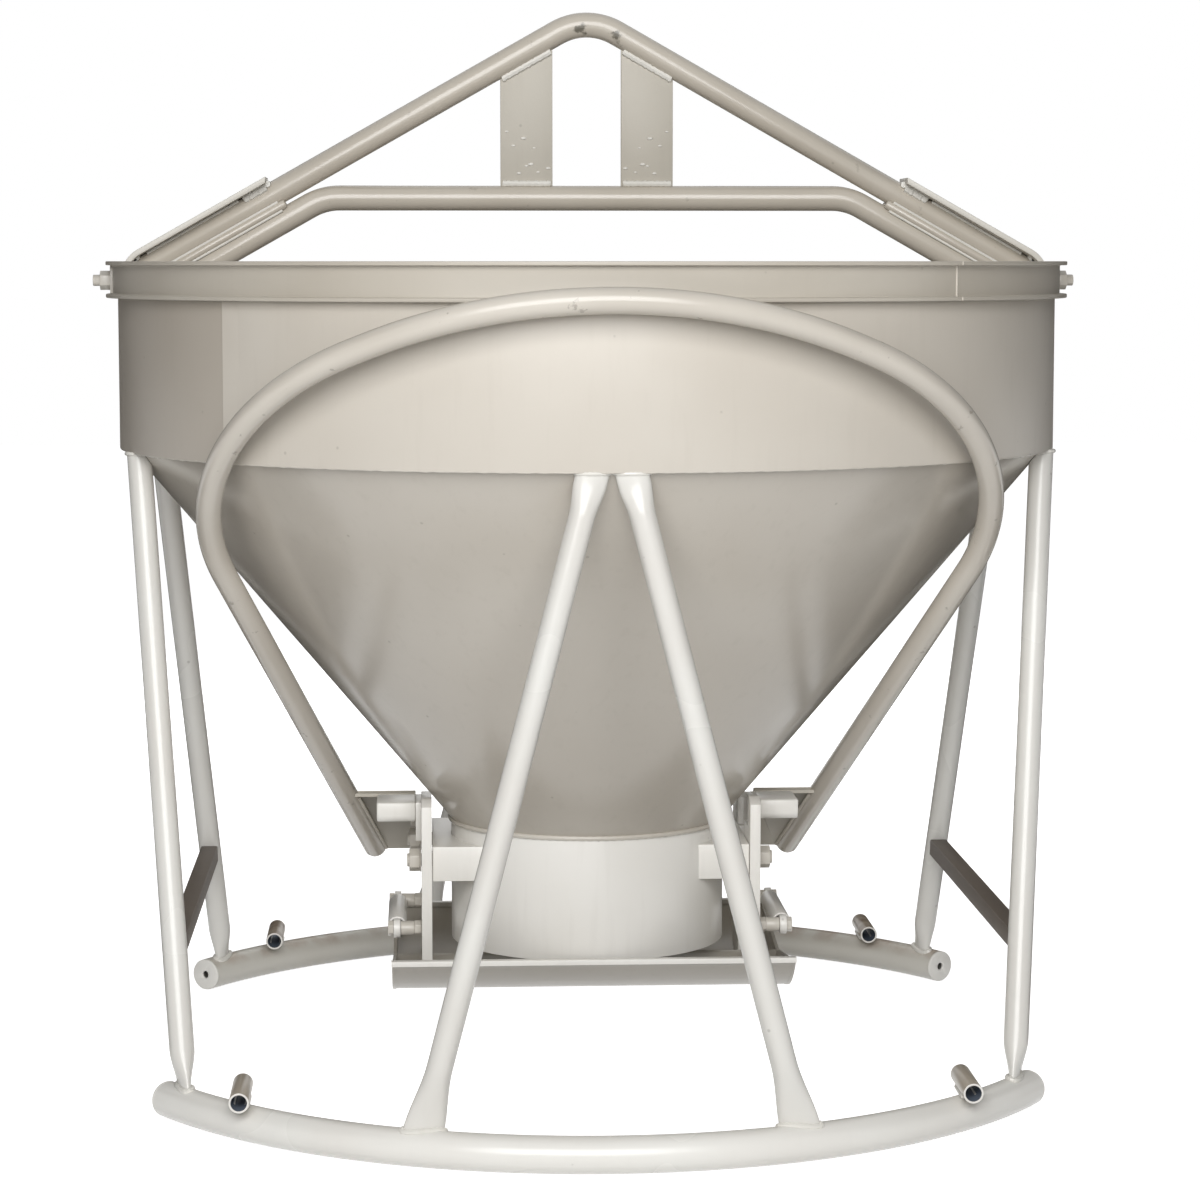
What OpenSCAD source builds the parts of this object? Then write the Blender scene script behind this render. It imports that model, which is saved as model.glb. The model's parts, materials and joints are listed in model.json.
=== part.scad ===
// Concrete bucket for a crane: a round hopper on a split pipe base, with a fixed lifting bail,
// a two-leaf gate under the throat and a big loop handle that swings the gate open.
// +Z is up, +Y points to the back, the origin is on the floor under the hopper's axis.

/* [Hopper] */
// Outer radius of the drum
drum_r = 836; // [760:1:900]
// Thickness of the drum sheet
drum_t = 4; // [3:0.5:8]
// Height of the rim's top above the floor
rim_top_z = 1434; // [1380:1:1500]
// Height of the drum's lower edge above the floor
drum_bottom_z = 1106; // [1060:1:1150]
// How far the drum hangs over the cone
drum_skirt = 13.6; // [8:0.2:25]
// Height of the cone's collar inside the drum
cone_collar = 20; // [10:1:40]
// Height of the cone's lower edge above the gate brackets
cone_over = 30.3; // [25:0.1:60]
// Thickness of the cone sheet
cone_t = 4; // [3:0.5:8]
// Outer radius of the discharge throat
throat_r = 248; // [230:1:270]
// Thickness of the throat sheet
throat_t = 5; // [3:0.5:10]
// Height of the throat's lower edge above the floor
throat_bottom_z = 205; // [190:1:225]

/* [Rim] */
// Height of the rim channel
rim_h = 64; // [54:1:80]
// Thickness of the channel's web
rim_web_t = 8; // [5:0.5:10]
// Reach of the channel's flanges beyond the drum
rim_reach = 21; // [18:1:30]
// Thickness of the channel's flanges
rim_flange_t = 7; // [4:0.5:9]
// Thickness of the flat pads under the bail's nuts
pad_t = 6; // [4:0.5:8]
// Width of the pads
pad_w = 60; // [45:1:80]

/* [Bail] */
// Diameter of the bail's round bars
bail_d = 44.5; // [38:0.5:52]
// Height above the rim where the centre lines of the bail's arms meet
bail_rise = 436; // [400:1:500]
// How far the arms' centre lines run below the rim at the straps
bail_end_drop = 29; // [20:1:40]
// Bend radius of the bars, on their centre line
bail_bend_r = 109; // [80:1:140]
// Centre of the straight cross bar above the rim
cross_rise = 112.5; // [100:0.5:130]
// Gap between the two bars of an arm
bail_gap = 5; // [2:0.5:8]
// Room left between the bar ends and the strap's leg
bar_end_gap = 20; // [18:1:60]
// Clear width between the two upright plates
plate_gap = 123; // [90:1:160]
// Width of an upright plate
plate_w = 93; // [60:1:120]
// Thickness of an upright plate
plate_t = 12; // [8:1:20]
// Width of a strap
strap_w = 100; // [70:1:120]
// Thickness of a strap
strap_t = 10; // [6:1:14]
// Length of a strap along the bar
strap_len = 298; // [200:1:360]
// How far a strap's leg hangs below the rim's top
strap_drop = 110; // [80:1:130]
// Diameter of the filler rods in the grooves between the two bars
filler_d = 16; // [12:0.5:20]
// Length of the filler rods
filler_len = 303; // [150:1:320]
// Bail bolt diameter
bail_bolt_d = 20; // [16:1:22]
// Bail bolt's depth below the rim's top
bail_bolt_drop = 34; // [30:1:40]
// How far the bail bolts stand out beyond the rim
bail_bolt_out = 26; // [22:1:34]

/* [Base] */
// How far the ring's centre line lies outside the drum
ring_out = 43; // [30:1:60]
// Outer diameter of the ring pipe
ring_d = 60.3; // [48:0.1:76]
// Wall of the ring pipe
ring_wall = 3.9; // [2.5:0.1:6]
// Half the angle that each ring arc spans
ring_half_angle = 56; // [54:0.5:60]
// Thickness of the ring's end caps
cap_t = 6; // [3:0.5:10]
// Drain hole in an end cap
cap_hole_d = 14; // [8:0.5:20]

/* [Legs] */
// Outer diameter of the leg pipe
leg_d = 42.2; // [33:0.1:50]
// Wall of the leg pipe
leg_wall = 3.6; // [2.5:0.1:5]
// How far the leg tops stand inside the drum's outer face
leg_top_inset = 15; // [10:1:22]
// Half the spacing of a V pair at its top
v_top_x = 30; // [26:1:50]
// Angle along the ring from the middle to a V foot
v_foot_angle = 20.5; // [19:0.1:22]
// Angle from the middle to a side leg's top
side_top_angle = 73; // [68:0.5:78]
// Angle from the middle to a side leg's foot
side_foot_angle = 52.5; // [48:0.5:53]
// Height of the side braces
brace_z = 280; // [200:1:400]
// Size of the square brace tube
brace_size = 32; // [25:1:36]
// Wall of the brace tube
brace_wall = 4; // [2:0.5:6]

/* [Guide sleeves] */
// Outer diameter of a sleeve
sleeve_d = 33.4; // [26:0.1:42]
// Bore of a sleeve
sleeve_bore = 26.6; // [18:0.1:28]
// Length of a sleeve
sleeve_len = 135; // [90:1:170]
// Angle along the ring from the middle to a sleeve
sleeve_angle = 43; // [38:0.5:46]

/* [Gate] */
// Distance of each gate pivot from the middle
pivot_y = 110; // [100:1:120]
// Height of the gate pivots
pivot_z = 365; // [340:1:380]
// Diameter of the pivot bolts
pivot_d = 24; // [20:1:27]
// Gap between a pan and the throat's lower edge
gate_gap = 11.5; // [8:0.5:14]
// Thickness of the pan sheet
pan_t = 6; // [4:0.5:10]
// How far the pans reach beyond the gate arms
pan_over = 52; // [50:1:80]
// How far the pan's lip reaches past the throat, as an angle
lip_over = 4.3; // [3:0.1:6]
// Height of the lip bar
lip_h = 9; // [7:0.5:14]
// Depth of the lip bar
lip_w = 16; // [12:0.5:18]
// How far the pan's end plates stand out below the sheet
end_proud = 1; // [0.5:0.5:8]
// Thickness of the gate arms
arm_t = 19; // [12:1:22]
// Width of the gate arms
arm_w = 115; // [100:1:120]
// How far the front arms rise above their pivot
arm_rise = 114; // [100:1:116]
// Width of the front arms' upper ends
arm_neck_w = 52; // [45:1:60]
// Height of the sloped corner at the front arms' tops
arm_nose = 10; // [5:1:20]
// Width of the brackets beside the throat
bracket_reach = 35; // [34:1:45]
// Height of the brackets
bracket_h = 62; // [50:1:80]
// Half the length of the brackets
bracket_half_len = 157; // [148:1:170]
// Wall of the brackets
bracket_wall = 8; // [5:0.5:10]

/* [Closing struts] */
// Height of the strut bolts
strut_z = 245; // [238:1:255]
// Distance of the strut bolts from the middle
strut_y = 130; // [122:1:140]
// Distance from an arm's outer face to the strut's centre
strut_out = 44; // [40:1:50]
// Outer diameter of the strut tube
strut_d = 33.4; // [30:0.1:36]
// Bore of the strut tube
strut_bore = 26.6; // [22:0.1:28]
// Diameter of the strut rod
strut_rod_d = 18; // [12:0.5:20]
// Diameter of the strut bolts
strut_bolt_d = 16; // [12:1:18]
// Outer diameter of the strut eyes
strut_eye_d = 34; // [28:1:36]
// Thickness of the strut eyes
strut_eye_t = 12; // [8:1:16]
// How far the rod reaches into the tube at rest
strut_reach = 200; // [190:1:210]

/* [Handle] */
// Outer diameter of the handle pipe
loop_d = 42.2; // [33:0.1:44]
// Wall of the handle pipe
loop_wall = 3.6; // [2.5:0.1:5]
// How far the loop's widest place lies inside the drum's outer face
loop_inset = 186; // [170:1:200]
// Distance of the loop's lower ends from the hub plates
loop_foot_out = 74; // [64:1:90]
// Share of the loop's length at which it is widest
loop_wide_at = 0.643; // [0.62:0.001:0.66]
// Roundness of the loop's shoulders, as a share of the loop's length above its widest place
loop_round = 0.905; // [0.88:0.005:0.93]
// Short straight between the loop's sides and its top
loop_flat = 30; // [10:1:60]
// Distance of the lower ends behind the middle
loop_foot_y = 205; // [195:1:215]
// Height of the lower ends
loop_foot_z = 329; // [322:1:340]
// Gap between the loop's top and the rim
loop_rim_gap = 9; // [6:0.5:12]
// Height of the loop's top below the rim's top
loop_top_drop = 60; // [50:1:75]
// Height of the handle blocks
block_h = 36; // [28:1:44]
// Depth of the handle blocks
block_depth = 97; // [85:1:115]
// Length of the handle blocks
block_len = 70; // [60:1:80]
// Gap between the block's back and the gusset
block_gap = 16.4; // [10:0.2:24]
// How far the rear arm's top lies below the hub plate's top
arm_step = 14; // [8:1:20]
// Thickness of the gusset plates
gusset_t = 8; // [6:1:12]
// Where the gussets start, along the loop from its lower ends
gusset_start = 8; // [4:1:40]
// Where the gussets end, along the loop from its lower ends
gusset_end = 188; // [170:1:210]
// Diameter of the handle bolts
handle_bolt_d = 16; // [12:1:18]

/* [Hidden] */
$fn = 96;

// Clearances: a weld seat, a leg's foot, a running fit, a bolt in its hole, a side gap of a moving plate
weld_gap = 0.2;
foot_gap = 0.4;
run_fit = 0.06;
bolt_fit = 0.05;
side_gap = 1;
// Straights of a bent bar are this much thinner than its bends, and run this far into them
bend_step = 0.4;
bend_in = 4;
// A length past any of the part's own sizes, for cutting
far = 3000;

putty = "#b9b2a4";
pale = "#d5d3cb";

// Heights and radii of the hopper
drum_in_r = drum_r - drum_t;
cone_top_r = drum_in_r - weld_gap;
cone_top_z = drum_bottom_z + drum_skirt;
cone_bottom_z = pivot_z + bracket_h / 2 + cone_over;
cone_angle = atan((cone_top_r - throat_r) / (cone_top_z - cone_bottom_z));
cone_wall = cone_t / cos(cone_angle);
rim_in_r = drum_r + weld_gap;
rim_r = drum_r + rim_reach;
pad_x = rim_in_r + rim_web_t + weld_gap;

// The bail's centre lines, in the XZ plane
strap_x = drum_in_r - weld_gap;
strap_in_x = strap_x - strap_t;
bail_slope = atan((bail_rise + bail_end_drop) / strap_in_x);
bail_peak_z = rim_top_z + bail_rise;
bail_arc_z = bail_peak_z - bail_bend_r / cos(bail_slope);
cross_z = rim_top_z + cross_rise;
bar_pitch = bail_d + bail_gap;
cross_peak_z = bail_peak_z - bar_pitch / cos(bail_slope);
cross_knee_x = (cross_peak_z - cross_z) / tan(bail_slope);
cross_tangent = bail_bend_r * tan(bail_slope / 2);
bar_end_x = strap_in_x - bar_end_gap;
bail_bolt_z = rim_top_z - bail_bolt_drop;
nut_ratio = 0.8;
head_ratio = 0.6;

// The base
ring_r = drum_r + ring_out;
ring_z = ring_d / 2;
leg_top_r = drum_r - leg_top_inset;
v_top = [v_top_x, -sqrt(leg_top_r * leg_top_r - v_top_x * v_top_x), drum_bottom_z];
v_foot = [ring_r * sin(v_foot_angle), -ring_r * cos(v_foot_angle), ring_z];
side_top = [leg_top_r * sin(side_top_angle), -leg_top_r * cos(side_top_angle), drum_bottom_z];
side_foot = [ring_r * sin(side_foot_angle), -ring_r * cos(side_foot_angle), ring_z];
brace_share = (brace_z - ring_z) / (drum_bottom_z - ring_z);
brace_at = side_foot + (side_top - side_foot) * brace_share;
sleeve_x = ring_r * sin(sleeve_angle);
sleeve_y = ring_r * cos(sleeve_angle);
sleeve_z = ring_d + weld_gap + sleeve_d / 2;

// The gate, from the throat outwards
bracket_x = throat_r + bracket_reach;
arm_in_x = bracket_x + side_gap;
arm_x = arm_in_x + arm_t;
pan_half_w = arm_x + pan_over;
pan_in_r = norm([throat_r - pivot_y, pivot_z - throat_bottom_z]) + gate_gap;
pan_r = pan_in_r + pan_t;
lip_angle = atan((throat_r - pivot_y) / (pivot_z - throat_bottom_z)) + lip_over;
lip_y = pivot_y + pan_in_r * sin(lip_angle);
lip_z = pivot_z - pan_in_r * cos(lip_angle);
leaf_gap = 0.5;
washer_t = 2.5;
pivot_head_t = pivot_d * head_ratio;
pivot_nut_t = pivot_d * nut_ratio;
pivot_end_x = arm_x + washer_t + pivot_nut_t + 4;

// The struts, beside the arms
strut_x = arm_x + strut_out;
strut_nut_t = strut_bolt_d * nut_ratio;
strut_head_t = strut_bolt_d * head_ratio;
strut_eye_gap = 0.5;
strut_span = 2 * strut_y;
strut_tube_back = strut_eye_d / 2 + 4;
strut_piston_len = 25;
strut_floor = 22;

// The handle
hub_t = 10;
hub_fall = 20;
hub_x = arm_x + hub_t;
hub_bottom_z = pivot_z + 0.21 * arm_w;
hub_back_y = pivot_y + arm_w / 2;
hub_bolt_at = [[pivot_y - 0.18 * arm_w, pivot_z + 0.36 * arm_w],
               [pivot_y + 0.33 * arm_w, pivot_z + 0.504 * arm_w]];
rear_arm_front_y = pivot_y - 0.36 * arm_w;
block_in_x = hub_x + weld_gap;
flange_t = 6;
flange_w = 12;
loop_top_y = -(rim_r + loop_rim_gap + loop_d / 2);
loop_top_z = rim_top_z - loop_top_drop;
loop_rise = loop_top_z - loop_foot_z;
loop_run = loop_foot_y - loop_top_y;
loop_len = norm([loop_rise, loop_run]);
loop_tilt = 180 - atan(loop_rise / loop_run);
flange_z = loop_foot_z + gusset_end * sin(loop_tilt) - flange_t;
block_top_z = flange_z + flange_t;
gusset_face_y = loop_foot_y + (block_top_z - loop_foot_z) / tan(loop_tilt) - gusset_t / 2 / sin(loop_tilt);
hub_front_y = gusset_face_y - block_gap - block_depth;
rear_arm_top_z = block_top_z - arm_step;
loop_half_w = drum_r - loop_inset;
loop_foot_x = hub_x + loop_foot_out;
loop_side_s = loop_wide_at * loop_len;
loop_drop = loop_len - loop_side_s;
loop_side_r = loop_round * loop_drop;
loop_side_x = loop_half_w - loop_side_r;
loop_reach = norm([loop_side_x - loop_foot_x, loop_side_s]);
loop_lean = asin(loop_side_r / loop_reach) - atan((loop_foot_x - loop_side_x) / loop_side_s);
loop_squares = loop_drop * loop_drop + loop_side_x * loop_side_x;
loop_top_r = (loop_squares - loop_side_r * loop_side_r - loop_flat * loop_flat)
    / (2 * (loop_drop - loop_side_r));
loop_top_half = atan2(loop_side_x, loop_top_r - loop_drop) - atan(loop_flat / (loop_top_r - loop_side_r));
loop_side_turn = 90 + loop_lean - loop_top_half;
loop_leg_len = loop_side_s * cos(loop_lean) + (loop_side_x - loop_foot_x) * sin(loop_lean);

// A cylinder from point a to point b; its seam is turned to the side, away from the cuts
module rod_between(a, b, r) {
    v = b - a;
    translate(a)
        rotate([0, acos(v.z / norm(v)), atan2(v.y, v.x)])
            rotate([0, 0, 90]) cylinder(h = norm(v), r = r);
}

// An outline drawn in (Y, Z), extruded from x0 to x1
module along_x(x0, x1) {
    translate([x0, 0, 0]) rotate([90, 0, 90]) linear_extrude(x1 - x0) children();
}

// A cylinder on an axis along X
module x_cylinder(x0, x1, y, z, r) {
    translate([x0, y, z]) rotate([0, 90, 0]) cylinder(h = x1 - x0, r = r);
}

// A hexagon along X, measured across its flats
module x_hex(x0, x1, y, z, flats) {
    translate([x0, y, z]) rotate([0, 90, 0]) cylinder(h = x1 - x0, d = flats / cos(30), $fn = 6);
}

// The same piece on the left or the right
module on_side(side) {
    if (side > 0) children();
    else mirror([1, 0, 0]) children();
}

// The same piece at the front or at the back
module on_end(end) {
    if (end > 0) mirror([0, 1, 0]) children();
    else children();
}

// Piece of a bent bar: an arc in the XZ plane about (0, z)
module xz_arc(x, z, r, d, a0, a1) {
    translate([x, 0, z])
        rotate([90, 0, 0])
            rotate([0, 0, a0])
                rotate_extrude(angle = a1 - a0) translate([r, 0]) circle(d = d);
}

// Solid of the hopper's cone, grown by gap, used to fit the legs to it
module cone_body(gap) {
    grow = gap / cos(cone_angle);
    rotate_extrude()
        polygon([[0, cone_bottom_z], [throat_r + grow, cone_bottom_z],
                 [cone_top_r + grow, cone_top_z], [0, cone_top_z]]);
}

module ring_pipe(end, d) {
    start = end > 0 ? 90 - ring_half_angle : 270 - ring_half_angle;
    translate([0, 0, ring_z])
        rotate([0, 0, start])
            rotate_extrude(angle = 2 * ring_half_angle) translate([ring_r, 0]) circle(d = d);
}

// Straight length of the ring's outside at a leg's foot, used to fit the leg to it
module ring_stub(foot) {
    translate(foot)
        rotate([0, 0, atan2(foot.y, foot.x)])
            rotate([90, 0, 0])
                cylinder(h = 4 * leg_d, d = ring_d + 2 * foot_gap, center = true);
}

module leg(top, foot) {
    axis = (top - foot) / norm(top - foot);
    up = top + axis * leg_d;
    difference() {
        rod_between(foot, up, leg_d / 2);
        rod_between(foot - axis * leg_d, up + axis, leg_d / 2 - leg_wall);
        translate([0, 0, drum_bottom_z - weld_gap + far / 2]) cube(far, center = true);
        cone_body(weld_gap);
        ring_stub(foot);
    }
}

module drum_shell() {
    color(putty)
        difference() {
            rotate_extrude()
                polygon([[drum_in_r, drum_bottom_z], [drum_r, drum_bottom_z],
                         [drum_r, rim_top_z], [drum_in_r, rim_top_z]]);
            bail_bolt_holes();
        }
}

module hopper_cone() {
    color(putty)
        rotate_extrude()
            polygon([[throat_r - cone_wall, cone_bottom_z], [throat_r, cone_bottom_z],
                     [cone_top_r, cone_top_z], [cone_top_r, cone_top_z + cone_collar],
                     [cone_top_r - cone_t, cone_top_z + cone_collar],
                     [cone_top_r - cone_t, cone_top_z + (cone_wall - cone_t) / tan(cone_angle)]]);
}

module discharge_throat() {
    color(pale)
        rotate_extrude()
            polygon([[throat_r - throat_t, throat_bottom_z], [throat_r, throat_bottom_z],
                     [throat_r, cone_bottom_z], [throat_r - throat_t, cone_bottom_z]]);
}

module rim_channel() {
    bottom = rim_top_z - rim_h;
    web = rim_in_r + rim_web_t;
    color(putty)
        difference() {
            rotate_extrude()
                polygon([[rim_in_r, bottom], [rim_r, bottom], [rim_r, bottom + rim_flange_t],
                         [web, bottom + rim_flange_t], [web, rim_top_z - rim_flange_t],
                         [rim_r, rim_top_z - rim_flange_t], [rim_r, rim_top_z], [rim_in_r, rim_top_z]]);
            bail_bolt_holes();
        }
}

// Flat pads set upright between the rim's flanges, where the bail's nuts bear
module rim_pads() {
    bottom = rim_top_z - rim_h + rim_flange_t + weld_gap;
    color(putty)
        difference() {
            for (side = [-1, 1])
                on_side(side)
                    translate([pad_x, -pad_w / 2, bottom])
                        cube([pad_t, pad_w, rim_h - 2 * (rim_flange_t + weld_gap)]);
            bail_bolt_holes();
        }
}

module bail_bolt_holes() {
    x_cylinder(-far / 2, far / 2, 0, bail_bolt_z, bail_bolt_d / 2 + bolt_fit);
}

// A sloping bar of the bail, from the end of a bend at (x, z) down to the bar's end
module bail_arm(x, z) {
    reach = (bar_end_x - x) / cos(bail_slope) + bail_d;
    intersection() {
        translate([x, 0, z])
            rotate([0, 90 + bail_slope, 0])
                translate([0, 0, -bend_in]) cylinder(h = reach + bend_in, r = bail_d / 2 - bend_step);
        translate([bar_end_x - far / 2, 0, z]) cube(far, center = true);
    }
}

module bail_top_bar() {
    bend_x = bail_bend_r * sin(bail_slope);
    bend_z = bail_arc_z + bail_bend_r * cos(bail_slope);
    color(putty) {
        xz_arc(0, bail_arc_z, bail_bend_r, bail_d, 90 - bail_slope, 90 + bail_slope);
        for (side = [-1, 1]) on_side(side) bail_arm(bend_x, bend_z);
    }
}

module bail_cross_bar() {
    straight_x = cross_knee_x - cross_tangent;
    arc_z = cross_z - bail_bend_r;
    bend_x = straight_x + bail_bend_r * sin(bail_slope);
    bend_z = arc_z + bail_bend_r * cos(bail_slope);
    color(putty) {
        x_cylinder(-straight_x - bend_in, straight_x + bend_in, 0, cross_z, bail_d / 2 - bend_step);
        for (side = [-1, 1])
            on_side(side) {
                xz_arc(straight_x, arc_z, bail_bend_r, bail_d, 90 - bail_slope, 90);
                bail_arm(bend_x, bend_z);
            }
    }
}

// Upright plate between the two bars; its top follows the slope and its ends are coped to the bars
module bail_plate() {
    inner = plate_gap / 2;
    outer = inner + plate_w;
    color(putty)
        difference() {
            translate([inner, plate_t / 2, 0])
                rotate([90, 0, 0])
                    linear_extrude(plate_t)
                        polygon([[0, cross_z], [plate_w, cross_z],
                                 [plate_w, bail_peak_z - outer * tan(bail_slope)],
                                 [0, bail_peak_z - inner * tan(bail_slope)]]);
            x_cylinder(-far / 2, far / 2, 0, cross_z, bail_d / 2 + weld_gap);
            translate([0, 0, bail_peak_z])
                rotate([0, 90 + bail_slope, 0])
                    cylinder(h = far, d = bail_d + 2 * weld_gap);
        }
}

module bail_plate_left() { on_side(-1) bail_plate(); }
module bail_plate_right() { on_side(1) bail_plate(); }

// Flat strap on the back of the bail's arm, bent down inside the drum and bolted through the rim
module bail_strap() {
    low = bail_d / 2 + weld_gap;
    line_z = bail_peak_z + low / cos(bail_slope);
    thick_z = strap_t / cos(bail_slope);
    start_x = strap_x - strap_len * cos(bail_slope);
    leg_z = rim_top_z - strap_drop;
    color(putty)
        difference() {
            intersection() {
                translate([0, strap_w / 2, 0])
                    rotate([90, 0, 0])
                        linear_extrude(strap_w)
                            polygon([[start_x, line_z - start_x * tan(bail_slope)],
                                     [strap_in_x, line_z - strap_in_x * tan(bail_slope)],
                                     [strap_in_x, leg_z], [strap_x, leg_z],
                                     [strap_x, line_z - strap_x * tan(bail_slope) + thick_z],
                                     [start_x, line_z - start_x * tan(bail_slope) + thick_z]]);
                cylinder(h = far, r = strap_x);
            }
            bail_bolt_holes();
        }
}

module bail_strap_left() { on_side(-1) bail_strap(); }
module bail_strap_right() { on_side(1) bail_strap(); }

// Round rods welded into the grooves between the two bars, front and back
module bail_fillers() {
    mid_z = (bail_peak_z + cross_peak_z) / 2;
    start_x = bar_end_x - filler_len * cos(bail_slope);
    seat = (bail_d + filler_d) / 2 + weld_gap;
    depth = sqrt(seat * seat - bar_pitch * bar_pitch / 4);
    color(putty)
        for (side = [-1, 1], y = [-depth, depth])
            on_side(side)
                translate([start_x, y, mid_z - start_x * tan(bail_slope)])
                    rotate([0, 90 + bail_slope, 0])
                        cylinder(h = filler_len, d = filler_d);
}

// Bolt heads lie inside the drum, against the strap's leg
module bail_bolts() {
    color(putty)
        for (side = [-1, 1])
            on_side(side) {
                x_hex(strap_in_x - bail_bolt_d * head_ratio, strap_in_x, 0, bail_bolt_z, bail_bolt_d * 1.5);
                x_cylinder(strap_in_x - 1, rim_r + bail_bolt_out, 0, bail_bolt_z, bail_bolt_d / 2);
            }
}

module bail_nuts() {
    seat = pad_x + pad_t;
    color(putty)
        for (side = [-1, 1])
            on_side(side)
                difference() {
                    x_hex(seat, seat + bail_bolt_d, 0, bail_bolt_z, bail_bolt_d * 1.5);
                    x_cylinder(seat - 1, far / 2, 0, bail_bolt_z, bail_bolt_d / 2 + bolt_fit);
                }
}

module base_ring(end) {
    color(pale)
        difference() {
            ring_pipe(end, ring_d);
            ring_pipe(end, ring_d - 2 * ring_wall);
        }
}

module base_ring_front() { base_ring(-1); }
module base_ring_rear() { base_ring(1); }

// Discs that close the four pipe ends, each with a drain hole
module ring_end_caps() {
    color(pale)
        for (side = [-1, 1], end = [-1, 1])
            on_side(side)
                on_end(end)
                    rotate([0, 0, ring_half_angle])
                        translate([0, -ring_r, ring_z])
                            difference() {
                                x_cylinder(0, cap_t, 0, 0, ring_d / 2);
                                x_cylinder(-1, cap_t + 1, 0, 0, cap_hole_d / 2);
                            }
}

module v_leg(side, end) { color(pale) on_side(side) on_end(end) leg(v_top, v_foot); }
module front_leg_left() { v_leg(-1, -1); }
module front_leg_right() { v_leg(1, -1); }
module rear_leg_left() { v_leg(-1, 1); }
module rear_leg_right() { v_leg(1, 1); }

module side_leg(side, end) { color(pale) on_side(side) on_end(end) leg(side_top, side_foot); }
module side_leg_front_left() { side_leg(-1, -1); }
module side_leg_front_right() { side_leg(1, -1); }
module side_leg_rear_left() { side_leg(-1, 1); }
module side_leg_rear_right() { side_leg(1, 1); }

// Square tube from the front side leg to the rear one, its ends cut to the legs' slope
module side_brace(side) {
    hole = brace_size - 2 * brace_wall;
    run = (side_top.y - side_foot.y) / (side_top.z - side_foot.z);
    end_y = -brace_at.y - leg_d / 2 * sqrt(1 + run * run) - weld_gap;
    slant = run * brace_size / 2;
    low_z = brace_z - brace_size / 2;
    high_z = brace_z + brace_size / 2;
    color(putty)
        on_side(side)
            difference() {
                along_x(brace_at.x - brace_size / 2, brace_at.x + brace_size / 2)
                    polygon([[-end_y - slant, low_z], [end_y + slant, low_z],
                             [end_y - slant, high_z], [-end_y + slant, high_z]]);
                translate([brace_at.x, 0, brace_z]) cube([hole, far, hole], center = true);
            }
}

module side_brace_left() { side_brace(-1); }
module side_brace_right() { side_brace(1); }

// Short pipes lying on the ring, front to back
module guide_sleeves() {
    color(pale)
        for (side = [-1, 1], end = [-1, 1])
            on_side(side)
                on_end(end)
                    translate([sleeve_x, -sleeve_y - sleeve_len / 2, sleeve_z])
                        rotate([-90, 0, 0])
                            difference() {
                                cylinder(h = sleeve_len, d = sleeve_d);
                                translate([0, 0, -1]) cylinder(h = sleeve_len + 2, d = sleeve_bore);
                            }
}

// Folded box on the side of the throat; it carries the pivots of both gate leaves
module pivot_bracket() {
    inside = bracket_h - 2 * bracket_wall;
    hollow_x = bracket_x - bracket_wall;
    hollow_y = 2 * (bracket_half_len - bracket_wall);
    chord_x = 2 * throat_r * cos(asin(bracket_half_len / throat_r));
    color(pale)
        difference() {
            translate([bracket_x / 2, 0, pivot_z])
                cube([bracket_x, 2 * bracket_half_len, bracket_h], center = true);
            translate([hollow_x / 2, 0, pivot_z]) cube([hollow_x, hollow_y, inside], center = true);
            translate([0, 0, pivot_z - bracket_h]) cylinder(h = 2 * bracket_h, r = throat_r + weld_gap);
            translate([0, 0, pivot_z]) cube([chord_x, far, 2 * bracket_h], center = true);
            for (y = [-pivot_y, pivot_y])
                x_cylinder(throat_r / 2, bracket_x + 1, y, pivot_z, pivot_d / 2 + bolt_fit);
        }
}

module pivot_bracket_left() { on_side(-1) pivot_bracket(); }
module pivot_bracket_right() { on_side(1) pivot_bracket(); }

// Pivot bolts: the head is inside the bracket, the arm turns on the shank
module pivot_bolts() {
    seat = bracket_x - bracket_wall;
    color(pale)
        for (side = [-1, 1], y = [-pivot_y, pivot_y])
            on_side(side) {
                x_cylinder(seat - 1, pivot_end_x, y, pivot_z, pivot_d / 2);
                x_hex(seat - pivot_head_t, seat, y, pivot_z, pivot_d * 1.5);
            }
}

module pivot_nuts() {
    seat = arm_x + washer_t;
    color(pale)
        for (side = [-1, 1], y = [-pivot_y, pivot_y])
            on_side(side)
                difference() {
                    x_hex(seat, seat + pivot_nut_t, y, pivot_z, pivot_d * 1.5);
                    x_cylinder(seat - 1, far / 2, y, pivot_z, pivot_d / 2 + bolt_fit);
                }
}

module pivot_washers() {
    color(pale)
        for (side = [-1, 1], y = [-pivot_y, pivot_y])
            on_side(side)
                difference() {
                    x_cylinder(arm_x + weld_gap, arm_x + washer_t, y, pivot_z, pivot_d * 0.9);
                    x_cylinder(0, far / 2, y, pivot_z, pivot_d / 2 + bolt_fit);
                }
}

// Part of a pan's round that lies below the line from the lip to the meeting edge
module pan_slice(x0, x1, r) {
    edge_y = -leaf_gap / 2;
    meet_z = pivot_z - sqrt(pan_in_r * pan_in_r - pivot_y * pivot_y);
    intersection() {
        x_cylinder(x0, x1, -pivot_y, pivot_z, r);
        along_x(x0, x1)
            polygon([[edge_y, meet_z], [edge_y, 0], [-far / 4, 0], [-far / 4, lip_z], [-lip_y, lip_z]]);
    }
}

// One leaf of the gate: a sheet curved about its pivot, with end plates and a lip bar
module gate_pan() {
    inside = pan_half_w - pan_t;
    difference() {
        pan_slice(-inside - 1, inside + 1, pan_r);
        x_cylinder(-inside, inside, -pivot_y, pivot_z, pan_in_r);
    }
    for (side = [-1, 1]) on_side(side) pan_slice(inside, pan_half_w, pan_r + end_proud);
    along_x(-pan_half_w - 1, pan_half_w + 1)
        translate([-lip_y - lip_w * 5 / 8, lip_z - lip_h / 4]) square([lip_w, lip_h]);
}

module front_gate_pan() { color(putty) gate_pan(); }
module rear_gate_pan() { color(putty) on_end(1) gate_pan(); }

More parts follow.
